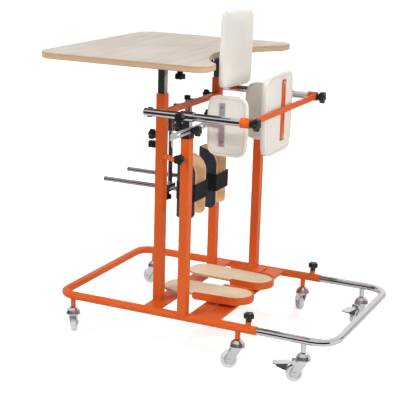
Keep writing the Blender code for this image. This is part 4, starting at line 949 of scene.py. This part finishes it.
def thicken(obj, thickness, offset, rim, segments):
    """Give a sheet its thickness and soften its cut edges."""
    thick = obj.modifiers.new("thickness", "SOLIDIFY")
    thick.thickness = thickness
    thick.offset = offset
    soft = obj.modifiers.new("soft rim", "BEVEL")
    soft.width = rim
    soft.segments = segments
    soft.limit_method = "ANGLE"
    soft.angle_limit = math.radians(50)


def cup_cover(side_name, side):
    columns = []
    for x, y in cup_plan(0.0, CUP_REAR - FLUSH):
        far = min(max(y / CUP_HALF, 0.0), 1.0)
        x -= far * SET_BACK
        rear = CUP_REAR - FLUSH - far * SET_BACK + WING_GAP
        low = CUP_LOW + SET_UP + arch(x, ARCH_LOW, rear)
        high = CUP_HIGH - FLUSH - far * SET_DOWN - arch(x, ARCH_TOP, rear)
        columns.append(column(x, side * ROD_Y + y, low, high, ROWS))
    mesh = mesh_from(bent_sheet(columns), f"cup_cover_{side_name}", 80)
    cover = new_piece(f"cup_cover_{side_name}", mesh, FOAM_COVER, f"knee_support_{side_name}")
    from_middle = mesh.polygons[0].center - at(CUP_FRONT + CUP_BEND, side * ROD_Y, 0.0)
    faces_out = mesh.polygons[0].normal.dot(Vector((from_middle.x, from_middle.y, 0.0))) > 0
    thicken(cover, CUP_WALL, -1.0 if faces_out else 1.0, 0.0018, 3)
    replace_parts(cover, f"knee_cup_{side_name}")
    return cover


CUP_COVERS = {name: cup_cover(name, side) for name, side in SIDES.items()}
print("cup covers", {name: len(cover.data.vertices) for name, cover in CUP_COVERS.items()})

# %% [markdown]
# The strap is flat webbing 60 mm wide, one closed band. It goes round the cup's outside and straight across
# the opening behind the knee.

# %% Straps
STRAP_LOW, STRAP_HIGH, STRAP_THICK = 0.482, 0.542, 0.0016
STRAP_ROWS, BRIDGE_STEPS, STRAP_GAP = 6, 10, 0.0004


def strap(side_name, side):
    plan = cup_plan(STRAP_GAP + STRAP_THICK / 2, CUP_REAR + STRAP_THICK / 2)
    start, end = Vector(plan[-1]), Vector(plan[0])
    plan += [tuple(start.lerp(end, step / BRIDGE_STEPS)) for step in range(1, BRIDGE_STEPS)]
    columns = [column(x, side * ROD_Y + y, STRAP_LOW, STRAP_HIGH, STRAP_ROWS) for x, y in plan]
    mesh = mesh_from(bent_sheet(columns, closed=True), f"knee_strap_{side_name}", 80)
    band = new_piece(f"knee_strap_{side_name}", mesh, WEBBING, f"knee_support_{side_name}")
    thicken(band, STRAP_THICK, 0.0, 0.0005, 2)
    length = sum((Vector(a) - Vector(b)).length for a, b in zip(plan, plan[1:] + plan[:1]))
    return length


STRAPS = {name: strap(name, side) for name, side in SIDES.items()}
print("strap lengths", {name: round(length, 3) for name, length in STRAPS.items()})

# %% [markdown]
# ## Screws
# The pad strips are held by pan-head screws. A dome with a sunk middle reads as one.

# %% Pan-head screws
SCREW_R, SCREW_H = 0.0064, 0.0030
SCREW_PROFILE = ((1.0, 0.0), (1.0, 0.45), (0.86, 0.8), (0.55, 1.0), (0.34, 1.0), (0.22, 0.35))


def screw(name, place, axis, body):
    levels = [(circle(SCREW_R * share, 24), SCREW_H * rise) for share, rise in SCREW_PROFILE]
    built_piece(name, stacked(levels), Matrix.Translation(place) @ toward(axis), ZINC, body, 45)


BOLT_INSET, STRIP_RECESS = 0.014, 0.0025
strip_low, strip_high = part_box("rear_pad_strip")
strip_y = (strip_low.y + strip_high.y) / 2
for label, z in (("low", strip_low.z + BOLT_INSET), ("high", strip_high.z - BOLT_INSET)):
    place = Vector((strip_high.x - STRIP_RECESS, strip_y, z))
    screw(f"rear_strip_screw_{label}", place, (1, 0, 0), "rear_support")

HIP_PAD_Y, STRIP_GAP, STRIP_THICK = 0.163, 0.0003, 0.003
ARM_Z = COLLAR_HIGH + 0.012
STRIP_DOWN, STRIP_UP, HIP_STRIP_X = 0.073, 0.069, 0.528
for side_name, side in SIDES.items():
    strip_face = side * (HIP_PAD_Y + STRIP_GAP + STRIP_THICK)
    for label, z in (("low", ARM_Z - STRIP_DOWN + BOLT_INSET), ("high", ARM_Z + STRIP_UP - BOLT_INSET)):
        place = at(HIP_STRIP_X, strip_face, z)
        screw(f"hip_strip_screw_{side_name}_{label}", place, (0, side, 0), f"hip_arm_{side_name}")
print("screws", 2 + 2 * len(SIDES))

# %% [markdown]
# ## Floor, light and camera
# The photograph has a plain white ground. The floor is pale and keeps a faint shadow; the world is white to
# the eye, and gives an even light. Bright metal needs something to mirror, so for mirrored rays the world is
# white behind and above the horizon, and dim to the right and level with the viewer, as an open studio is.

# %% Floor
FLOOR, FLOOR_EDGE = 14.0, -1.3
corners = [(-FLOOR, FLOOR_EDGE, 0), (FLOOR, FLOOR_EDGE, 0), (FLOOR, FLOOR, 0), (-FLOOR, FLOOR, 0)]
floor_mesh = bpy.data.meshes.new("floor")
floor_mesh.from_pydata(corners, [], [(0, 1, 2, 3)])
floor = bpy.data.objects.new("floor", floor_mesh)
bpy.context.scene.collection.objects.link(floor)
FLOOR_FINISH, tree, shader = finish("pale_floor", Roughness=0.9, Base_Color=(0.88, 0.88, 0.88, 1.0),
                                    Specular_IOR_Level=0.0, Emission_Color=(1.0, 1.0, 1.0, 1.0))
seen = node(tree, "ShaderNodeLightPath")
reach = node(tree, "ShaderNodeVectorMath", operation="LENGTH")
wire(tree, own_coordinates(tree), reach.inputs[0])
lift = remap(tree, reach.outputs["Value"], 0.50, 0.75, 0.9, 3.0)
glow = arithmetic(tree, "MULTIPLY", seen.outputs["Is Camera Ray"], lift)
wire(tree, glow, shader.inputs["Emission Strength"])
floor_mesh.materials.append(FLOOR_FINISH)
floor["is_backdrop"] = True
print("floor", FLOOR * 2, "m wide, from", FLOOR_EDGE, "m back")

# %% World
SOFT_LIGHT = 0.38
world = bpy.data.worlds.new("studio")
bpy.context.scene.world = world
world.use_nodes = True
tree = world.node_tree
sky = tree.nodes["Background"]
path = node(tree, "ShaderNodeLightPath")
way = node(tree, "ShaderNodeSeparateXYZ")
wire(tree, node(tree, "ShaderNodeTexCoord").outputs["Generated"], way.inputs["Vector"])
behind = remap(tree, way.outputs["Y"], 0.04, 1.0, -0.10, 0.30)
rightward = remap(tree, way.outputs["X"], 1.0, 0.06, 0.34, 0.52)
above = remap(tree, way.outputs["Z"], 0.0, 0.85, 0.12, 0.38)
mirrored = arithmetic(tree, "MAXIMUM", arithmetic(tree, "MULTIPLY", behind, rightward), above)
glossy = path.outputs["Is Glossy Ray"]
in_metal = arithmetic(tree, "MULTIPLY", glossy, mirrored)
elsewhere = arithmetic(tree, "MULTIPLY", arithmetic(tree, "SUBTRACT", 1.0, glossy), SOFT_LIGHT)
clear = arithmetic(tree, "MAXIMUM", path.outputs["Is Camera Ray"], path.outputs["Is Transmission Ray"])
strength = arithmetic(tree, "MAXIMUM", arithmetic(tree, "ADD", in_metal, elsewhere), clear)
wire(tree, strength, sky.inputs["Strength"])
sky.inputs["Color"].default_value = (1.0, 1.0, 1.0, 1.0)
print("world", world.name)

# %% [markdown]
# Three large lamps light the whole. A narrow fourth one brightens the upper half of the near hip pad, which
# the photograph shows whiter than its neighbours.


# %% Lamps
def aimed(name, lamp, energy, place, target, mirrored=False):
    """Hang a lamp at a place and turn it to its target."""
    lamp.energy = energy
    obj = bpy.data.objects.new(name, lamp)
    bpy.context.scene.collection.objects.link(obj)
    obj.location = place
    obj.rotation_euler = (Vector(target) - Vector(place)).to_track_quat("-Z", "Y").to_euler()
    obj.visible_glossy = mirrored


def softbox(name, place, target, size, energy, mirrored=False):
    lamp = bpy.data.lights.new(name, "AREA")
    lamp.shape = "SQUARE"
    lamp.size = size
    aimed(name, lamp, energy, place, target, mirrored)


softbox("key_left", (-2.4, -2.6, 3.2), (0.0, 0.0, 0.6), 2.0, 112.0)
softbox("fill_right", (3.2, -1.4, 2.0), (0.0, 0.0, 0.6), 2.2, 70.0)
softbox("top_back", (0.3, 2.4, 3.4), (0.0, 0.0, 0.5), 1.0, 42.0, mirrored=True)

low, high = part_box("hip_pad_near")
pad_top = Vector(((low.x + high.x) / 2, low.y, high.z - 0.035))
pad_lamp = bpy.data.lights.new("pad_spot", "SPOT")
pad_lamp.spot_size = math.radians(8.0)
pad_lamp.spot_blend = 1.0
pad_lamp.shadow_soft_size = 0.12
aimed("pad_spot", pad_lamp, 105.0, pad_top + Vector((0.9, -1.5, 0.9)), pad_top)
bpy.context.scene.view_settings.view_transform = "Standard"

# %% [markdown]
# The camera comes from the photograph's own lines: a long lens, a little above the table, slightly rolled.

# %% Camera
LENS, SENSOR = 102.2, 36.0
EYE = (1.9922, -3.4601, 1.4604)
PAN, TILT, ROLL = (math.radians(angle) for angle in (31.4008, 75.1241, -6.2156))
lens = bpy.data.cameras.new("portrait")
lens.lens = LENS
lens.sensor_width = SENSOR
camera = bpy.data.objects.new("portrait", lens)
bpy.context.scene.collection.objects.link(camera)
turned = Matrix.Rotation(PAN, 4, "Z") @ Matrix.Rotation(TILT, 4, "X") @ Matrix.Rotation(ROLL, 4, "Y")
camera.matrix_world = Matrix.Translation(at(*EYE)) @ turned
bpy.context.scene.camera = camera
print("camera", [round(v, 3) for v in camera.location], "lens", LENS)

# %% [markdown]
# ## Measure and finish
# The dressed part has to stay the size of the drawing, so the last cell prints how far its box grew past the
# frame's box.

# %% Sizes
new_low, new_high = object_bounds()
below = [round((b - a) * 1000, 1) for a, b in zip(cad_low, new_low)]
above = [round((b - a) * 1000, 1) for a, b in zip(cad_high, new_high)]
print("grew by", below, above)
